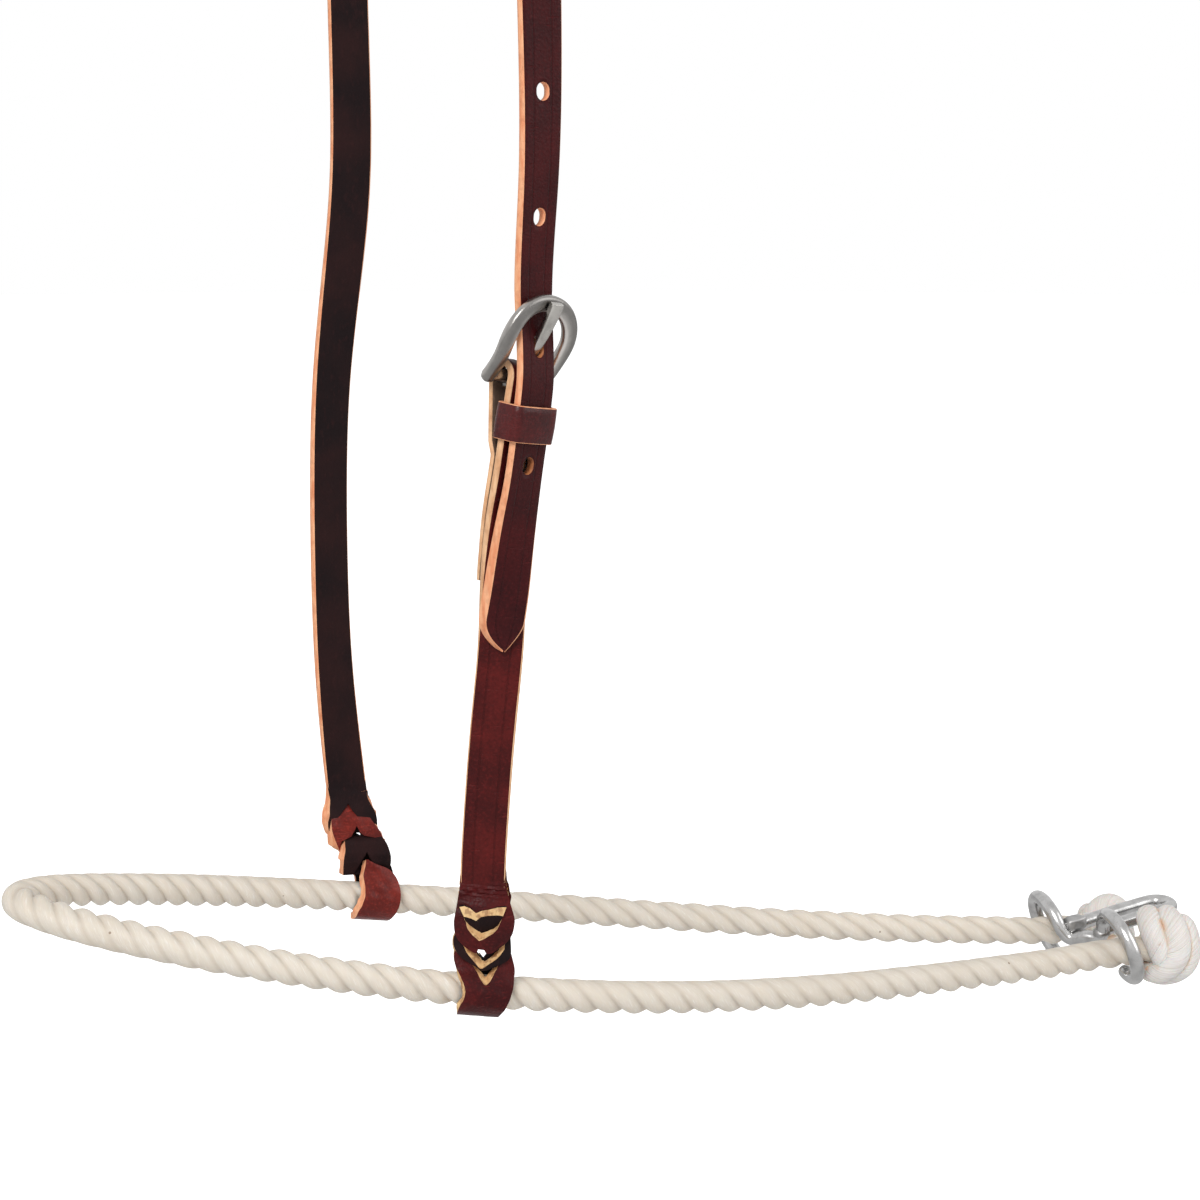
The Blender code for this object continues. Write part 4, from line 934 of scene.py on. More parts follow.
# Rows from the top down: height over the rope, left and right, depth in the middle, crown, and how far
# the cut edge shows at the left and right, in millimetres.
LENS_LEAF = [
    (35, -6.40, 6.40, 0.85, 0, 0, 0), (33.2, -6.45, 6.45, 1.15, 0, 0, 0), (31.5, -6.6, 6.7, 1.5, 0.1, 0, 0),
    (29.2, -7, 7.2, 2.2, 0.5, 0.1, 0.1), (26.7, -7.5, 7.8, 3.3, 1.1, 0.1, 0.1),
    (24.3, -8.1, 8.4, 4.1, 1.5, 0.1, 0.1), (22, -8.5, 8.8, 4.5, 1.8, 0.1, 0.1),
    (20, -8.5, 8.6, 4.6, 1.8, 0.2, 0.2), (17.5, -7.9, 7.8, 4.5, 1.5, 0.4, 0.4),
    (16, -6.9, 6.8, 4.4, 1.2, 0.6, 0.6), (14.5, -5.4, 4.9, 4.2, 0.8, 0.6, 0.6),
    (13.2, -3.6, 3, 4, 0.4, 0.6, 0.6), (12.6, -1.8, 1.5, 3.9, 0.1, 0.4, 0.4),
]
SECOND_LEAF = [
    (19, -7.6, 7, 0.8, 0.6, 0.2, 0.2), (17, -8.6, 7.6, 1.4, 0.8, 0.2, 0.2),
    (15.5, -8.8, 7.7, 2, 0.9, 0.2, 0.2), (13.6, -8.4, 7.6, 2.9, 1, 0.2, 0.2),
    (12, -7.4, 7.4, 3.6, 1, 0.2, 0.2), (11, -6.4, 7, 3.9, 0.9, 0.2, 0.2),
    (9.6, -4.3, 5.6, 4.2, 0.6, 0.2, 0.2), (8.5, -2.8, 2.2, 4.4, 0.3, 0.2, 0.2),
    (7.7, -1.7, -0.6, 4.4, 0, 0.2, 0.2),
]
LOOP_LEAF = [
    (15, -7, 6.5, 0.9, 0.4, 0.1, 0.1), (13.5, -8.4, 7.2, 1.4, 0.5, 0.1, 0.1),
    (12, -8.9, 7.5, 1.9, 0.6, 0.1, 0.2), (10.5, -9, 7.7, 2.4, 0.7, 0.1, 0.2),
    (8.4, -8.8, 7.9, 3.3, 0.7, 0.1, 0.2), (6.6, -8.6, 7.5, 4.5, 0.5, 0.1, 0.2),
    (5, -8.5, 6.7, 5.7, 0.3, 0.1, 0.2), (3, -8.5, 5.8, 6.7, 0.1, 0.1, 0.2), (1, -8.8, 4.8, 7.3, 0, 0.1, 0.2),
    (-1, -9.4, 4, 7.4, 0, 0.1, 0.2), (-2.9, -10.2, 3.2, 6.9, 0, 0.1, 0.2),
    (-4.9, -10.5, 2.5, 5.4, 0, 0.1, 0.2), (-6.4, -10.1, 2.3, 3.4, 0, 0.1, 0.2),
    (-7.3, -9.4, 2.3, 1.2, 0, 0.2, 0.2), (-7.4, -9, 2.3, -0.8, 0, 0.4, 0.2),
    (-6.8, -9, 2.6, -2.8, 0, 0.7, 0.2), (-5.2, -9.1, 3.1, -5.3, 0, 0.9, 0.2),
    (-3.3, -8.8, 3.9, -6.6, 0, 1, 0.2), (-1.6, -8.1, 4.6, -7.2, 0, 1.1, 0.2),
    (0.3, -7.4, 5, -7.4, 0, 1.1, 0.2), (2, -6.8, 5.4, -7.3, 0.1, 1.1, 0.2),
    (3.7, -6.2, 5.8, -6.9, 0.3, 1.1, 0.2), (5.8, -5.4, 6.2, -6.3, 0.5, 1.1, 0.2),
    (7.7, -4.5, 6.2, -5.6, 0.6, 1.1, 0.2), (9.2, -3.7, 5.8, -5.1, 0.5, 1.1, 0.2),
    (10.9, -2.4, 4, -4.6, 0.4, 1, 0.2), (12.3, -1.4, 1.6, -4.2, 0.2, 0.9, 0.2),
    (13.6, -0.6, 0.1, -3.8, 0, 0.6, 0.1),
]
STRAP_LEAF = [
    (39, -6.2, 6.2, -1, 0, 0, 0), (37, -6.25, 6.25, -1.28, 0, 0.1, 0), (35, -6.2, 6.2, -1.5, 0.1, 0.5, 0.3),
    (33.3, -6.1, 6.1, -1.9, 0.1, 1.2, 0.8), (30.7, -6.7, 6.8, -2.8, 0.3, 2, 0.9),
    (28.5, -7.2, 7.6, -3.7, 0.6, 2.2, 0.8), (26.2, -8.1, 7.9, -3.7, 0.8, 2, 0.6),
    (24.3, -8.4, 7.7, -3.2, 0.8, 1.8, 0.4), (22.2, -8.3, 7.4, -2.5, 0.6, 1.4, 0.3),
    (20.2, -7.9, 7, -1.6, 0.5, 1, 0.2),
]
THIRD_LEAF = [
    (31.8, -1.6, 1.2, -1.2, 0.2, 0.3, 0.2), (29.6, -4.6, 3.4, -2.6, 0.5, 0.4, 0.2),
    (27.5, -6.7, 5.2, -3.9, 0.7, 0.6, 0.3), (25.5, -7.3, 6.1, -4.5, 0.9, 0.8, 0.4),
    (23.5, -7.6, 7.2, -4.6, 1, 1.6, 1), (20.9, -7.5, 7.9, -4, 1, 2.3, 1),
    (18.2, -7.3, 8.1, -2.8, 0.8, 2.6, 0.8), (16.2, -7, 8, -1.4, 0.5, 2, 0.4),
]
FOURTH_LEAF = [
    (21.6, -3.2, 6.6, -2.2, 0.4, 0.3, 0.2), (20.4, -4.3, 7.6, -3.3, 0.6, 0.7, 0.3),
    (19, -5, 8.2, -4.2, 0.7, 1.2, 0.3), (17, -5.9, 8.4, -4.6, 0.9, 1.8, 0.3),
    (14.5, -7.4, 8.1, -4.4, 0.9, 1.5, 0.4), (12.6, -8.3, 7.7, -3.7, 0.9, 1.1, 0.5),
    (10.4, -9, 6.8, -2.6, 0.8, 1, 0.7), (8.6, -9.4, 5.9, -1.2, 0.5, 0.9, 0.8),
]
# Slit openings: the outline at the leaf's face and at its back, in millimetres across and up.
HEART_FACE = [
    (-6.8, 26.5), (-5.3, 26.8), (-3.7, 26), (-2.2, 24.6), (-0.4, 25.4), (1.4, 25.6), (4, 26.2), (6.5, 26.1),
    (5.6, 24), (4.9, 22.4), (3.7, 20.1), (2.1, 18.6), (0.1, 17.5), (-1.9, 16.7), (-3.8, 18.1), (-5.4, 20.3),
    (-5.9, 22.4), (-6.3, 24.2),
]
HEART_BACK = [
    (-6.3, 26.2), (-5, 26.5), (-3.5, 25.7), (-2.1, 24.3), (-0.3, 25.1), (1.4, 25.3), (3.9, 25.9),
    (6.2, 25.7), (5.2, 23.8), (4.6, 22.2), (4, 20.8), (2.8, 19.6), (0.9, 18.8), (-0.8, 18.4), (-2.4, 19.9),
    (-3.3, 21.2), (-3.9, 22.3), (-4.9, 24),
]
SECOND_FACE = [
    (-7.6, 19), (-7.1, 15.6), (-6.2, 13.6), (-5.2, 11.8), (-2.9, 8.9), (-2.3, 8.4), (-1.6, 8.5), (1.3, 9.9),
    (4.1, 11.6), (6, 13.3), (6.4, 19),
]
SECOND_BACK = [
    (-4.6, 19), (-4, 15.2), (-3.2, 13.6), (-2.5, 12.3), (-0.9, 9.9), (-0.5, 9.6), (0.1, 9.8), (1.9, 11),
    (3.1, 11.8), (4.2, 12.6), (4.6, 19),
]
LOOP_FACE = [
    (-5.2, 16), (-4.8, 10.5), (-3.7, 7.5), (-2.6, 4), (-2.1, 3.7), (-0.8, 4.7), (0.8, 6), (4.2, 9.6),
    (5, 16),
]
LOOP_BACK = [
    (-4.1, 16), (-3.3, 9.6), (-2.3, 7.3), (-1.4, 5.4), (-1.1, 5.2), (-0.4, 5.7), (0.5, 6.5), (3.2, 8.5),
    (3.8, 16),
]
STRAP_NOTCH = [
    (-7.4, 17), (-7.7, 24.4), (-7, 26.2), (-3.8, 28.4), (-0.6, 31.6), (0.3, 29.4), (1.9, 26.8), (5.3, 25.8),
    (7.6, 23.8), (8.4, 17),
]
THIRD_NOTCH = [
    (-8.4, 14), (-7.2, 17.8), (-5.7, 19.9), (-2.1, 21.5), (0.5, 24.8), (1, 22.6), (2, 21.4), (6, 19.9),
    (8.8, 17.4), (8.8, 14),
]
FOURTH_NOTCH = [
    (-7.8, 6), (-5.8, 9.2), (-3.3, 12.3), (-1, 14.6), (0.7, 16.4), (0.9, 13.6), (1.6, 12.1), (4.4, 10.8),
    (6.3, 8.7), (7, 6),
]
TIP_TOP = [
    (-6.8, 26.9), (-5.4, 27.1), (-3.8, 26.4), (-2.2, 24.9), (-0.4, 25.6), (1.4, 25.8), (4, 26.4),
    (6.5, 26.4),
]
TIP_LOW = [
    (-5.7, 24.1), (-4.9, 23.9), (-3.5, 23.4), (-2.3, 22.7), (-0.9, 23.8), (1.3, 24.1), (3.9, 24.1),
    (5.4, 23.8),
]
# A plug between the front and back leaves, so that nothing shows through but the hole
CORE = [(-6.2, 31), (6.2, 31), (6.6, 24), (6.2, 14), (5.4, 8.5), (-6, 8.5), (-6.6, 14), (-6.8, 24)]
LEAF_COLUMNS = 17
# Where the wrinkles of the top leaf lie and how far they spread
CREASE_HEIGHT = 30.5
CREASE_SPREAD = 2.2
LEAF_SWELL = 0.16
LEAF_LIFT = 1.5
# The corners of a see-through hole, by its half width and half height
HOLE_CORNERS = [(0, -1), (1, 0), (0.6, 0.8), (-0.5, 1), (-0.95, 0.3)]


def hanger_frame(curve, side, height):
    """Middle of a hanger at a height, with its directions across and outward."""
    turned = line_values(curve, max(height, 0.0))[2]
    middle = strap_middle(curve, side, max(height, 0.0))
    middle[2] = place(0.0, 0.0, height)[2]
    rope_middle, rope_along = rope_at(0.0, side)
    share = ramp(height, 0.0, HANGER_TURN_HEIGHT)
    if share < 1.0:
        middle[:2] = rope_middle[:2] * (1 - share) + middle[:2] * share
    turned = math.atan2(rope_along[1], rope_along[0]) * (1 - share) + turned * share
    slope = rope_along[2] / math.hypot(rope_along[0], rope_along[1]) * (1 - share)
    across = np.array([math.cos(turned), math.sin(turned), slope])
    return middle, across, side * np.array([-math.sin(turned), math.cos(turned), 0.0])


def hanger_point(curve, side, x, height, depth):
    """A point by its place across, its height and its depth; low down it follows the rope's slope."""
    middle, across, outward = hanger_frame(curve, side, height * MM)
    return middle + (across * x + outward * depth) * MM


def tucked(x, depth, deep, tuck):
    """The side of a braid that isn't seen from the front lies closer in; tuck says which side that is."""
    hidden = ramp(deep * tuck, 0.0, TUCK_DEPTH)
    return x * (1 - TUCK_NARROWING * hidden) + TUCK_SHIFT * hidden, depth * (1 - TUCK_FLATTENING * hidden)


def leaf(curve, side, rows, finishes, tuck, steps=40, thickness=LEAF_THICKNESS, wrinkles=0.0):
    """One curved leaf of leather with its thickness inward and its cut edges showing."""
    rows = smooth_curve(rows, steps)
    columns = LEAF_COLUMNS

    def grid(grow):
        made = []
        for height, low, high, deep, crown_depth, left_edge, right_edge in rows:
            start = low - left_edge * grow
            width = high + right_edge * grow - start
            creased = math.exp(-(((height - CREASE_HEIGHT) / CREASE_SPREAD) ** 2)) * wrinkles
            lift = min(max(deep / LEAF_LIFT, -1.0), 1.0)
            row = []
            for s in np.linspace(0.0, 1.0, columns):
                x = start + width * s
                fold = math.sin(5.0 * height + 0.7 * x) + 0.6 * math.sin(8.3 * height - 0.9 * x + 1.0)
                swell = LEAF_SWELL * math.sin(0.8 * x + 1.1 * height) * math.cos(0.6 * height - 0.5 * x)
                depth = deep - lift * (crown_depth * (2 * s - 1) ** 2 - swell - creased * fold)
                x, depth = tucked(x, depth, deep, tuck)
                row.append(hanger_point(curve, side, x, height, depth))
            made.append(row)
        return np.array(made)

    face = grid(0.0)
    back = grid(1.0)
    normal = np.cross(np.gradient(back, axis=0), np.gradient(back, axis=1))
    normal /= np.linalg.norm(normal, axis=2, keepdims=True)
    out = hanger_frame(curve, side, rows[0][0] * MM)[2] * math.copysign(1.0, rows[0][3])
    back = back - normal * math.copysign(thickness, np.dot(normal[1, columns // 2], out))
    size = steps * columns
    faces = []
    slots = []
    for i in range(steps - 1):
        for k in range(columns - 1):
            a = i * columns + k
            faces.append((a, a + 1, a + columns + 1, a + columns))
            faces.append((a + size, a + columns + size, a + columns + 1 + size, a + 1 + size))
            slots += [0, 1]
        for a in (i * columns, i * columns + columns - 1):
            faces.append((a, a + columns, a + columns + size, a + size))
            slots.append(2)
    for start in (0, size - columns):
        faces += [(a, a + 1, a + 1 + size, a + size) for a in range(start, start + columns - 1)]
        slots += [2] * (columns - 1)
    return add_mesh("leaf", [*face.reshape(-1, 3), *back.reshape(-1, 3)], faces, finishes, slots=slots,
                    smooth_angle=BRAID_SHARPNESS)


def slit_cutter(curve, side, face, back, rows, finish, tuck):
    """A wedge that opens a slit: its walls slope from the outline at the face to the one at the back."""
    face = np.array(face, float)
    heights, deeps = zip(*[(row[0], row[3]) for row in rows if row[3] > 0.5][::-1])
    rings = []
    for share in (-0.9, 0.0, 1.0, 1.8):
        ring = []
        for x, h in face + (np.array(back, float) - face) * share:
            deep = float(np.interp(h, heights, deeps))
            x, depth = tucked(x, deep - share * LEAF_THICKNESS / MM, deep, tuck)
            ring.append(hanger_point(curve, side, x, h, depth))
        rings.append(ring)
    return skin("slit", rings, [finish])


def prism(curve, side, outline, depths, finish, lean=(0.0, 0.0)):
    """A straight plug through the braid; a leaning one follows a line of sight through it."""
    return skin("prism", [
        [hanger_point(curve, side, x + lean[0] * depth, h + lean[1] * depth, depth) for x, h in outline]
        for depth in depths
    ], [finish])


def join(name, parts, smooth_angle=None):
    """One object from several closed parts, with their finishes kept."""
    finishes = []
    work = bmesh.new()
    for part in parts:
        first = len(work.faces)
        work.from_mesh(part.data)
        work.faces.ensure_lookup_table()
        for material in part.data.materials:
            if material not in finishes:
                finishes.append(material)
        places = [finishes.index(material) for material in part.data.materials]
        for face in work.faces[first:]:
            face.material_index = places[face.material_index]
    mesh = bpy.data.meshes.new(name)
    work.to_mesh(mesh)
    work.free()
    for material in finishes:
        mesh.materials.append(material)
    for part in parts:
        bpy.data.objects.remove(part)
    return add_object(name, mesh, smooth_angle)


def build_hanger(name, curve, side, grain, flesh, edge, tuck, hole, lean, node):
    """The braided end of one cheek strap, round the rope."""
    dark = [flesh, grain, edge]
    outer = [grain, flesh, edge]

    def slit_leaf(rows, finishes, face, back, **shape):
        made = leaf(curve, side, rows, finishes, tuck, **shape)
        return carve(made, [slit_cutter(curve, side, face, back, rows, edge, tuck)])

    def notched_leaf(rows, finishes, outline, depths, **shape):
        made = leaf(curve, side, rows, finishes, tuck, **shape)
        notch = [(tucked(x, 0.0, -NOTCH_DEPTH, tuck)[0], h) for x, h in outline]
        return carve(made, [prism(curve, side, notch, depths, flesh)])

    lens = slit_leaf(LENS_LEAF, outer, HEART_FACE, HEART_BACK, steps=84, wrinkles=0.22)
    second = slit_leaf(SECOND_LEAF, dark, SECOND_FACE, SECOND_BACK)
    loop = slit_leaf(LOOP_LEAF, outer, LOOP_FACE, LOOP_BACK, steps=110, thickness=LOOP_THICKNESS)
    strap = notched_leaf(STRAP_LEAF, dark, STRAP_NOTCH, (-7.5, -0.2), thickness=LOOP_THICKNESS)
    third = notched_leaf(THIRD_LEAF, outer, THIRD_NOTCH, (-8.0, -0.2))
    fourth = notched_leaf(FOURTH_LEAF, dark, FOURTH_NOTCH, (-8.0, 0.5))
    # The tip that comes out through the upper slit, with its pale end upward, and the core behind it
    rings = []
    for (top_x, top_h), (low_x, low_h) in zip(TIP_TOP, TIP_LOW):
        behind_x = low_x * 0.5 - 0.3
        rings.append([
            hanger_point(curve, side, tucked(x, depth, depth, tuck)[0], h, depth)
            for x, h, depth in ((top_x, top_h, 4.1), (low_x, low_h, 4.3), (behind_x, 16.5, 1.2),
                                (behind_x, 16.5, 0.2), (top_x, top_h, 1.8))
        ])
    slots = [2, 0, 0, 0, 0] * (len(rings) - 1) + [0, 0]
    tip = skin("tip", rings, dark, slots=slots, smooth_angle=30)
    parts = [lens, second, loop, strap, third, fourth, tip, prism(curve, side, CORE, (-1.0, 1.0), flesh)]
    x, h, wide, tall = hole
    outline = [(x + wide * a, h + tall * b) for a, b in HOLE_CORNERS]
    for part in parts:
        if part != loop or tuck < 0:
            carve(part, [prism(curve, side, outline, (-9.0, 9.0), flesh, lean)])
    hanger = join(name, parts, BRAID_SHARPNESS)
    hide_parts(node)
    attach(hanger, "hangers")


near_braid_grain = grain_leather("near_braid_grain", (0.038, 0.0046, 0.0052), (0.086, 0.0080, 0.0078), 0.38,
                                 lined=False)
# The far braid is the crown strap's own end; its grain is a much lighter, redder copy of the strap's grain,
# painted light on that braid
far_braid_lit_grain = grain_leather("far_braid_lit_grain", (0.105, 0.0105, 0.0075), (0.215, 0.0230, 0.0150), 0.30,
                                lined=False, coat=0.12)
near_lip = cut_leather("near_lip", (0.76, 0.52, 0.26), (0.60, 0.34, 0.15), dyed=0.55)
build_hanger("near_braid", NEAR_CURVE, -1, near_braid_grain, strap_flesh, near_lip, -1,
             (-0.4, 11.5, 1.6, 1.9), (-0.237, 0.183), "near_hanger")
build_hanger("far_braid", FAR_CURVE, 1, far_braid_lit_grain, strap_flesh, strap_edge, 1,
             (1.1, 20.9, 1.1, 0.6), (0.375, -0.19), "far_hanger")


# The keeper: a thin polished strip of the same leather, bent round strap and billet with its ends butted
# inside, so that the billet stays down.
KEEPER_CLEARANCE = 0.00035
KEEPER_CORNER = 0.0013
KEEPER_BULGE = 0.0004

keeper_finish = grain_leather("keeper_grain", (0.038, 0.0048, 0.0052), (0.086, 0.0085, 0.0085), 0.26,
                              lined=False, coat=0.22)
middle, across, outward, upward = cheek_frame(KEEPER_MIDDLE)
billet = billet_frame(KEEPER_MIDDLE)[0] - middle
billet_across = float(np.dot(billet, across))
low = -STRAP_THICKNESS / 2 - LAYER_SLACK
high = float(np.dot(billet, outward)) + STRAP_THICKNESS / 2 + KEEPER_CLEARANCE
keeper_left = min(0.0, billet_across) - STRAP_WIDTH / 2 - KEEPER_CLEARANCE
keeper_right = max(0.0, billet_across) + STRAP_WIDTH / 2 + KEEPER_CLEARANCE
corner_middles = [
    (keeper_right - KEEPER_CORNER, high - KEEPER_CORNER), (keeper_left + KEEPER_CORNER, high - KEEPER_CORNER),
    (keeper_left + KEEPER_CORNER, low + KEEPER_CORNER), (keeper_right - KEEPER_CORNER, low + KEEPER_CORNER),
]
# The strip's own section: thickness out from the corner's inside, and half heights
keeper_section = [
    (0, -1), (0.12, -1), (0.84, -1), (0.97, -0.96), (1.05, -0.6), (1.12, 0), (1.05, 0.6), (0.97, 0.96),
    (0.84, 1), (0.12, 1), (0, 0.97), (0, 0),
]
keeper_turns = []
for number, (a, b) in enumerate(corner_middles):
    keeper_turns += [(a, b, math.pi / 2 * (number + k / 8)) for k in range(9)]
    if number == 0:
        left_corner = corner_middles[1][0]
        for share in np.linspace(0.0, 1.0, 13)[1:-1]:
            bulge = KEEPER_BULGE * math.sin(math.pi * share)
            keeper_turns.append((a + (left_corner - a) * share, b + bulge, math.pi / 2))
rings = []
for a, b, angle in keeper_turns:
    outside = across * math.cos(angle) + outward * math.sin(angle)
    rings.append([
        middle + across * a + outward * b + outside * (KEEPER_CORNER + KEEPER_THICKNESS * grow)
        + upward * up * KEEPER_HEIGHT / 2
        for grow, up in keeper_section
    ])
keeper_slots = [2, 2, 2, 0, 0, 0, 0, 2, 2, 2, 1, 1] * len(rings)
keeper = skin("keeper_leather", rings, [keeper_finish, strap_flesh, strap_edge], closed=True,
              slots=keeper_slots, smooth_angle=50)
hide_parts("keeper")
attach(keeper, "keeper")


# The buckle: a cart buckle cast in stainless steel and brushed satin, with a straight bar and a flat
# tongue that is rolled round it.
BAR_HALF = 0.0098
FRAME_HALF = 0.0103
FRAME_ARCH = 0.0019
FRAME_WIDTH = 0.0048
TONGUE_WIDTH = 0.0032
TONGUE_CROWN = 1.3
WIRE_END_BREAK = 0.16


def steel(name, shade, roughness, brushed, painted_reflection_bands=False):
    """Brushed or drawn steel: fine scratches, a little uneven polish and dull smears, and if asked, painted
    dark and bright reflection bands across the face.
    """
    finish = Finish(name, Metallic=1.0, Roughness=roughness)
    spot = finish.place()
    scratch = finish.noise(spot, brushed, 4.0)
    smear = finish.noise(spot, 240.0, 4.0)
    tone = finish.layered(
        shade, (finish.step(smear, 0.35, 0.75), times(shade, 0.72)),
        (finish.step(scratch, 0.55, 0.8) * 0.35, times(shade, 0.5)),
    )
    if painted_reflection_bands:
        # Painted reflections: a dark band painted in the hollow of the face, a darker outer edge, and a
        # bright band painted on the bevel outside it
        turn = finish.along_and_round()[1]
        painted_dark_band = finish.step(turn, 0.16, 0.28) * finish.step(turn, 0.56, 0.40)
        bevel = finish.step(turn, 0.05, 0.10) * finish.step(turn, 0.19, 0.13)
        tone = finish.layered(
            tone, (painted_dark_band * 0.75, times(shade, 0.36)),
            (finish.step(turn, 0.04, 0.0) * 0.5, times(shade, 0.4)), (bevel * 0.7, times(shade, 1.5)),
        )
    finish.paint(Base_Color=tone, Roughness=roughness - 0.06 + smear * 0.16)
    finish.raised(scratch * 0.6 + smear * 0.5, 0.00006)
    return finish


frame_steel = steel("satin_steel", (0.44, 0.42, 0.40), 0.27, (1800.0, 1800.0, 500.0), painted_reflection_bands=True)
centre, across, up_frame, face = lean_axes()
half_outline = [
    (BAR_HALF, -BAR_RADIUS), (BAR_HALF, 0.10 * FRAME_LENGTH),
    (BAR_HALF + 0.35 * (FRAME_HALF - BAR_HALF), 0.32 * FRAME_LENGTH), (FRAME_HALF, 0.58 * FRAME_LENGTH),
    (0.78 * FRAME_HALF, 0.84 * FRAME_LENGTH), (0.42 * FRAME_HALF, 0.965 * FRAME_LENGTH), (0.0, FRAME_LENGTH),
]
outline = [(-a, b) for a, b in half_outline] + [(a, b) for a, b in half_outline[-2::-1]]
flat_path = smooth_curve(outline, 121)
rings = []
for i, ((a, b), (da, db)) in enumerate(zip(flat_path, np.gradient(flat_path, axis=0))):
    outwards = (across * db - up_frame * da) / math.hypot(da, db)
    share = ramp(b, 0.0, FRAME_LENGTH)
    middle = centre + across * a + up_frame * b + face * FRAME_ARCH * 4 * share * (1 - share)
    end = min(i, len(flat_path) - 1 - i)
    shrink = 0.55 + 0.45 * dome(end, 4)
    wide = FRAME_WIDTH * (0.8 + 0.2 * share) / 2 * shrink
    deep = FRAME_DEPTH * (1.25 - 0.25 * share) / 2 * shrink
    rings.append(around(middle, outwards * wide, face * deep, 28, powers=(0.85, 0.7)))
frame_ring = skin("frame_ring", rings, [frame_steel], smooth_angle=60)


def tube(name, path, radius, finish):
    """A round wire along a path, with its cut ends broken by a file."""
    _, sides, ups = carried(np.asarray(path, float))
    rings = []
    for i, middle in enumerate(path):
        end = min(i, len(path) - 1 - i)
        broken = radius * (1.0 - WIRE_END_BREAK * max(1 - end / 3, 0.0) ** 2)
        rings.append(around(middle, sides[i] * broken, ups[i] * broken, 28))
    return skin(name, rings, [finish], smooth_angle=50)


tongue_finish = steel("tongue_steel", (0.50, 0.48, 0.45), 0.24, (1500.0, 1500.0, 400.0))
bar_path = np.linspace(centre - across * BAR_HALF, centre + across * BAR_HALF, 12)
buckle = join("satin_buckle", [frame_ring, tube("bar", bar_path, BAR_RADIUS, tongue_finish)], 60)
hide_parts("buckle_frame")
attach(buckle, "buckle")

centre, across, outward, rise = frame_axes()
inner = BAR_RADIUS + GAP
outer = inner + TONGUE_EYE_WALL
eye_half = [(inner, 0.94), (inner + 0.0001, 1), (outer - 0.0002, 1), (outer, 0.88)]
eye_section = [
    (radius, side * wide * TONGUE_EYE_WIDTH / 2)
    for side in (-1, 1) for radius, wide in eye_half[::-side]
]
rings = []
for angle in turns(48):
    ray = outward * math.cos(angle) + rise * math.sin(angle)
    rings.append([centre + ray * radius + across * wide for radius, wide in eye_section])
eye = skin("eye", rings, [tongue_finish], closed=True, smooth_angle=50)
path = smooth_curve(tongue_route(), 48)
rings = []
for i, ((out, up), (step_out, step_up)) in enumerate(zip(path, np.gradient(path, axis=0))):
    normal = (outward * step_up - rise * step_out) / math.hypot(step_out, step_up)
    thin = 0.74 + 0.26 * dome(len(path) - 1 - i, 3)
    taper = 0.72 + 0.58 * i / (len(path) - 1)
    wide = TONGUE_WIDTH / 2 * taper * (0.9 + 0.1 * thin)
    deep = TONGUE_DEPTH / 2 * thin
    rings.append([
        centre + outward * out + rise * up + across * wide * squared(math.cos(angle), 0.5)
        + normal * deep * squared(math.sin(angle), 0.5) * (TONGUE_CROWN if math.sin(angle) > 0 else 1.0)
        for angle in turns(20)
    ])
tongue = join("satin_tongue", [eye, skin("shank", rings, [tongue_finish], smooth_angle=50)], 50)
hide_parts("buckle_tongue")
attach(tongue, "tongue")


# The two screws: nickelled posts from the inside and screws from the outside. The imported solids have
# the right shape, so they stay and get the nickel.
nickel = steel("nickel", (0.45, 0.44, 0.42), 0.26, 900.0)
for node in ("upper_screw", "lower_screw", "upper_screw_post", "lower_screw_post"):
    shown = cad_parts[node]
    shown.data.materials.clear()
    shown.data.materials.append(nickel.material)
    for polygon in shown.data.polygons:
        polygon.material_index = 0


# The knots: the rope's three strands, unlaid, tied back over each other and sealed with heat. They are
# brushed white and silky, with a peach tint in the folds and brown where they melted.
KNOT_SEAT = 0.95
# Each strand's middle line and half width in millimetres, seen from the front left: to the right, up
# and towards the eye from the knot's middle. The strands behind are the same, turned half round.
NEAR_STRANDS = [
    [(-5, 8, -3, 3), (-6.3, 9.9, 2, 3.9), (-6.2, 6.8, 5.8, 4.1), (-4.9, 2.6, 7.9, 4.1),
     (-3.2, -2.2, 8.1, 3.9), (-1.2, -6.4, 6.2, 3.5), (0.5, -9, 3, 3)],
    [(2, 8.5, -3, 3), (0.4, 10.2, 2.2, 3.7), (1.4, 7.2, 6.4, 4.3), (2.2, 2.6, 8.3, 4.7),
     (1.8, -2.6, 8.5, 4.7), (-1, -7.2, 7.4, 4.3), (-4.6, -9.2, 4.6, 3.8), (-7.6, -9.2, 0.5, 3.2)],
    [(5, 6.5, -4, 2.8), (6.4, 7, 0.6, 3.4), (7.3, 3.2, 4, 3.8), (7.6, -1.8, 5, 3.9), (6, -6.4, 4.8, 4),
     (2.2, -9.4, 3.4, 4), (-2.6, -10.2, 1, 3.9), (-6.8, -9, -3, 3.2)],
]
FAR_STRANDS = [
    [(-8, -5, -1, 3.2), (-7.6, -0.9, 2.6, 3.8), (-5.3, 3.3, 4.2, 4.1), (-1.7, 7.3, 3.8, 4.4),
     (2.2, 8.3, 2.6, 4.4), (6, 5.6, 1.6, 4.1), (8, 1, 0, 3.4)],
    [(-7, -8, 0, 3), (-6, -3.4, 5.4, 3.8), (-2.6, 1.2, 7.6, 4.2), (2, 2.2, 7.8, 4.2), (6, -0.6, 5.6, 3.9),
     (7.6, -4.6, 1.6, 3.2)],
    [(-2, -9.6, -1, 3), (-1, -7.4, 4.6, 3.8), (2.4, -4.6, 6.6, 4), (5.6, -4.2, 5, 3.8), (8, -5, 1, 3.2)],
]
STRAND_FLATNESS = 0.86
BACK_DRAWN_IN = 0.82
HEART_SHARE = 0.70
TOWARDS_EYE = (-0.3903, -0.9038, 0.1753)


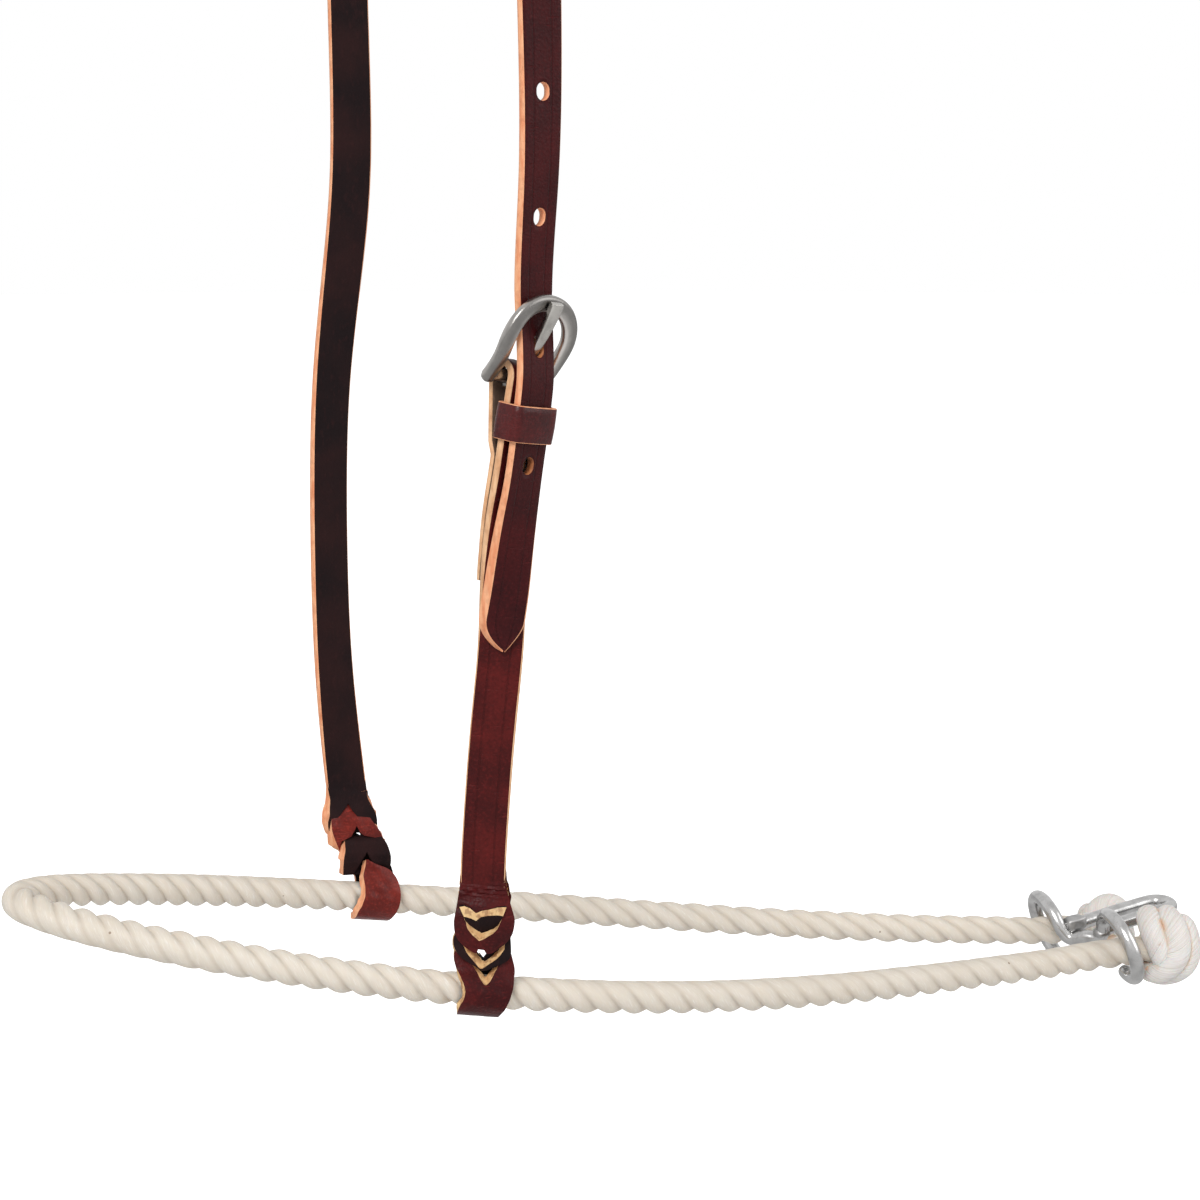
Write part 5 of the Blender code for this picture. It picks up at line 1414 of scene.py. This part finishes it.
def strand_finish(name, white, shadow, tint, twist):
    """Brushed yarn: lines along the strand, with painted shade between them and painted silky sheen on them,
    a warm tint in the folds and a few melted spots.
    """
    finish = Finish(name, Roughness=0.55, Subsurface_Weight=0.18, Subsurface_Scale=0.0015, Sheen_Weight=0.15)
    length, turn = finish.along_and_round()
    yarn_and_sheen = finish.drawn_noise(length * 70.0, (turn + length * twist) * 42.0, 0.0, 5.0)
    patch = finish.noise(finish.place(), 150.0)
    side = finish.step(abs(abs(turn - 0.5) - 0.25), 0.13, 0.24)
    # Painted shade and sheen: the shadow colour lies between the yarn lines and white is painted along them
    finish.paint(Base_Color=finish.layered(
        shadow, (finish.step(yarn_and_sheen, 0.32, 0.60) * 0.85, white),
        (side * finish.step(patch, 0.42, 0.56) * 0.9, tint),
        (finish.step(patch, 0.69, 0.76) * 0.65, (0.42, 0.20, 0.09)),
    ))
    finish.raised(yarn_and_sheen, 0.00060)
    return finish


def build_knot(name, side, sizes, rise, strands, finishes, node):
    """One end knot: its strands in front, the same behind, and a round heart between them."""
    end = ROPE_PATH[0] if side < 0 else ROPE_PATH[-1]
    before = ROPE_PATH[3] if side < 0 else ROPE_PATH[-4]
    along = unit(end - before)
    centre = end + along * (GAP + sizes[0] * KNOT_SEAT)
    centre = centre + np.cross(along, unit(np.cross((0.0, 0.0, 1.0), along))) * rise
    eye = unit(TOWARDS_EYE)
    right = unit(np.cross((0.0, 0.0, 1.0), eye))
    up = np.cross(eye, right)
    parts = []
    for turned, drawn_in in ((1, 1.0), (-1, BACK_DRAWN_IN)):
        for strand in strands:
            line = smooth_curve(strand, 60)
            middles = np.array([
                centre + (right * a * drawn_in + up * b * turned * drawn_in + eye * c * turned) * MM
                for a, b, c, _ in line
            ])
            rings = []
            for i, (middle, step) in enumerate(zip(middles, np.gradient(middles, axis=0))):
                step = unit(step)
                out = unit(middle - centre - step * np.dot(step, middle - centre))
                wide = line[i][3] * MM * (0.3 + 0.7 * dome(min(i, len(line) - 1 - i), 6))
                rings.append(around(middle, np.cross(step, out) * wide, out * wide * STRAND_FLATNESS, 36))
            parts.append(skin("strand", rings, finishes, smooth_angle=80))
    long, deep, tall = (HEART_SHARE * size for size in sizes)
    rings = [
        around(centre - right * long * math.cos(angle), eye * deep * math.sin(angle),
               up * tall * math.sin(angle), 40)
        for angle in np.linspace(0.1, math.pi - 0.1, 25)
    ]
    parts.append(skin("heart", rings, finishes, smooth_angle=80))
    knot = join(name, parts)
    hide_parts(node)
    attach(knot, "noseband")


near_strands = strand_finish("near_strands", (0.83, 0.805, 0.78), (0.66, 0.605, 0.55), (0.80, 0.50, 0.31),
                             twist=60.0)
far_strands = strand_finish("far_strands", (0.80, 0.76, 0.72), (0.68, 0.63, 0.58), (0.80, 0.60, 0.44),
                            twist=-40.0)
build_knot("near_knot", -1, (0.0120, 0.0120, 0.0139), 0.0016, NEAR_STRANDS, [near_strands],
           "near_end_knot")
build_knot("far_knot", 1, (0.0115, 0.0120, 0.0126), -0.0004, FAR_STRANDS, [far_strands],
           "far_end_knot")


# The hardware: one stainless wire bent into two rings round the rope, joined by a bridge, and a second
# wire welded on as a loop for the tie-down strap. The welds are left as beads.
WIRE_RADIUS = 0.00238
RING_RADIUS = 0.0113
RING_SIDE = 0.0170
RING_LEAN = math.radians(20)
RING_TURN = math.radians(10.3)
RING_PLACES = {-1: (0.3628, 0.0019), 1: (0.3575, 0.0011)}
RING_CUT = math.radians(247)
RING_LEAVE = math.radians(148)
LOOP_RADIUS = 0.0050
LOOP_LENGTH = 0.0338
LOOP_PITCH = math.radians(8.5)
LOOP_SAG = 0.0004
LOOP_RISE = 0.0028
BRIDGE_DIP = 0.25
BEAD_RIPPLE = 0.06


def ring_point(side, angle):
    """A point on a ring's middle line; angle 0 is its outer side and a quarter turn is its top."""
    ring_place, rise = RING_PLACES[side]
    middle = rope_at(ring_place - NOSE_REACH, side)[0] + np.array([0.0, 0.0, rise])
    middle[1] = side * RING_SIDE
    across = np.array([math.sin(RING_TURN), math.cos(RING_TURN), 0.0])
    normal = np.array([math.cos(RING_TURN), -math.sin(RING_TURN), 0.0])
    up = np.array([0.0, 0.0, math.cos(RING_LEAN)]) - normal * math.sin(RING_LEAN)
    return middle + RING_RADIUS * (side * across * math.cos(angle) + up * math.sin(angle))


def ring_run(side):
    """The ring from its cut end under the rope, over the outer side and the top, to the bridge."""
    sweep = RING_LEAVE + 2 * math.pi - RING_CUT
    return [ring_point(side, RING_CUT - 2 * math.pi + sweep * k / 20) for k in range(21)]


near_run = ring_run(-1)
far_run = ring_run(1)
near_side = ring_point(-1, math.pi)
far_side = ring_point(1, math.pi)
bridge_middle = (near_side + far_side) / 2
dip = np.array([0.0, 0.0, -BRIDGE_DIP * WIRE_RADIUS])
bridge_route = [
    near_run[-2], near_run[-1], bridge_middle * 0.4 + near_side * 0.6 + dip, bridge_middle,
    bridge_middle * 0.4 + far_side * 0.6 + dip, far_run[-1], far_run[-2],
]
bridge = smooth_curve(bridge_route, 13)
wire_path = smooth_curve(near_run[:-2] + list(bridge) + far_run[:-2][::-1], 230)
ring_steel = steel("drawn_wire", (0.50, 0.495, 0.49), 0.21, 700.0)
rings_tube = tube("rings_tube", wire_path, WIRE_RADIUS, ring_steel)


def bead(middle, length, width, height, lean, finish, seed, power=1.0):
    """A weld bead: a small lump with frozen ripples; a lower power makes it squarer."""
    rings = []
    for i in range(1, 14):
        angle = math.pi * i / 14
        thick = math.sin(angle) ** power
        ring = []
        for turn in turns(20):
            wave = 1.0 + BEAD_RIPPLE * math.sin(5 * angle + seed) * math.cos(3 * turn + seed)
            ahead = thick * squared(math.cos(turn), power)
            above = thick * squared(math.sin(turn), power)
            sideways = width * squared(math.cos(angle), power)
            ring.append(middle + wave * np.array([length * ahead, sideways, lean * ahead + height * above]))
        rings.append(ring)
    return skin("weld", rings, [finish], smooth_angle=80)


def loop_at(back, y):
    share = back / LOOP_LENGTH
    arch = LOOP_SAG * 4 * share * (1 - share)
    return bridge_middle + np.array([back, y, LOOP_RISE + back * math.tan(LOOP_PITCH) + arch])


fine_bridge = smooth_curve(bridge_route, 62)
straight = LOOP_LENGTH - LOOP_RADIUS
legs = []
for side in (1, -1):
    start = np.interp(side * LOOP_RADIUS, fine_bridge[:, 1], fine_bridge[:, 0] - bridge_middle[0])
    legs.append([loop_at(start + (straight - start) * k / 6, side * LOOP_RADIUS) for k in range(6)])
bend = [
    loop_at(straight + LOOP_RADIUS * math.sin(math.pi * k / 12), LOOP_RADIUS * math.cos(math.pi * k / 12))
    for k in range(13)
]
loop_path = smooth_curve(legs[0] + bend + legs[1][::-1], 150)
loop_tube = tube("loop_tube", loop_path, WIRE_RADIUS, ring_steel)
weld_steel = steel("weld_steel", (0.40, 0.395, 0.39), 0.46, 500.0)
welds = [
    bead(legs[0][0] + np.array([0.0034, 0.0, 0.0016]), 0.0038, 0.0027, 0.0024, 0.0004, weld_steel, 1.0,
         power=0.5),
    bead(legs[1][0] + np.array([-0.0004, -0.0004, -0.0006]), 0.0028, 0.0027, 0.0020, 0.0004, weld_steel, 2.0),
]
for side in (-1, 1):
    meet = ring_point(side, math.pi * 0.96) * 0.5 + fine_bridge[12 if side < 0 else -13] * 0.5
    welds.append(bead(meet, 0.0021, 0.0024, 0.0020, 0.0, weld_steel, 3.0 + side))
rings_piece = join("rings_wire", [rings_tube] + welds, 50)
for piece, node, slot in ((rings_piece, "ring_wire", "ring_steel"),
                          (loop_tube, "tie_down_loop", "tie_loop_steel")):
    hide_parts(node)
    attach(piece, "hardware")
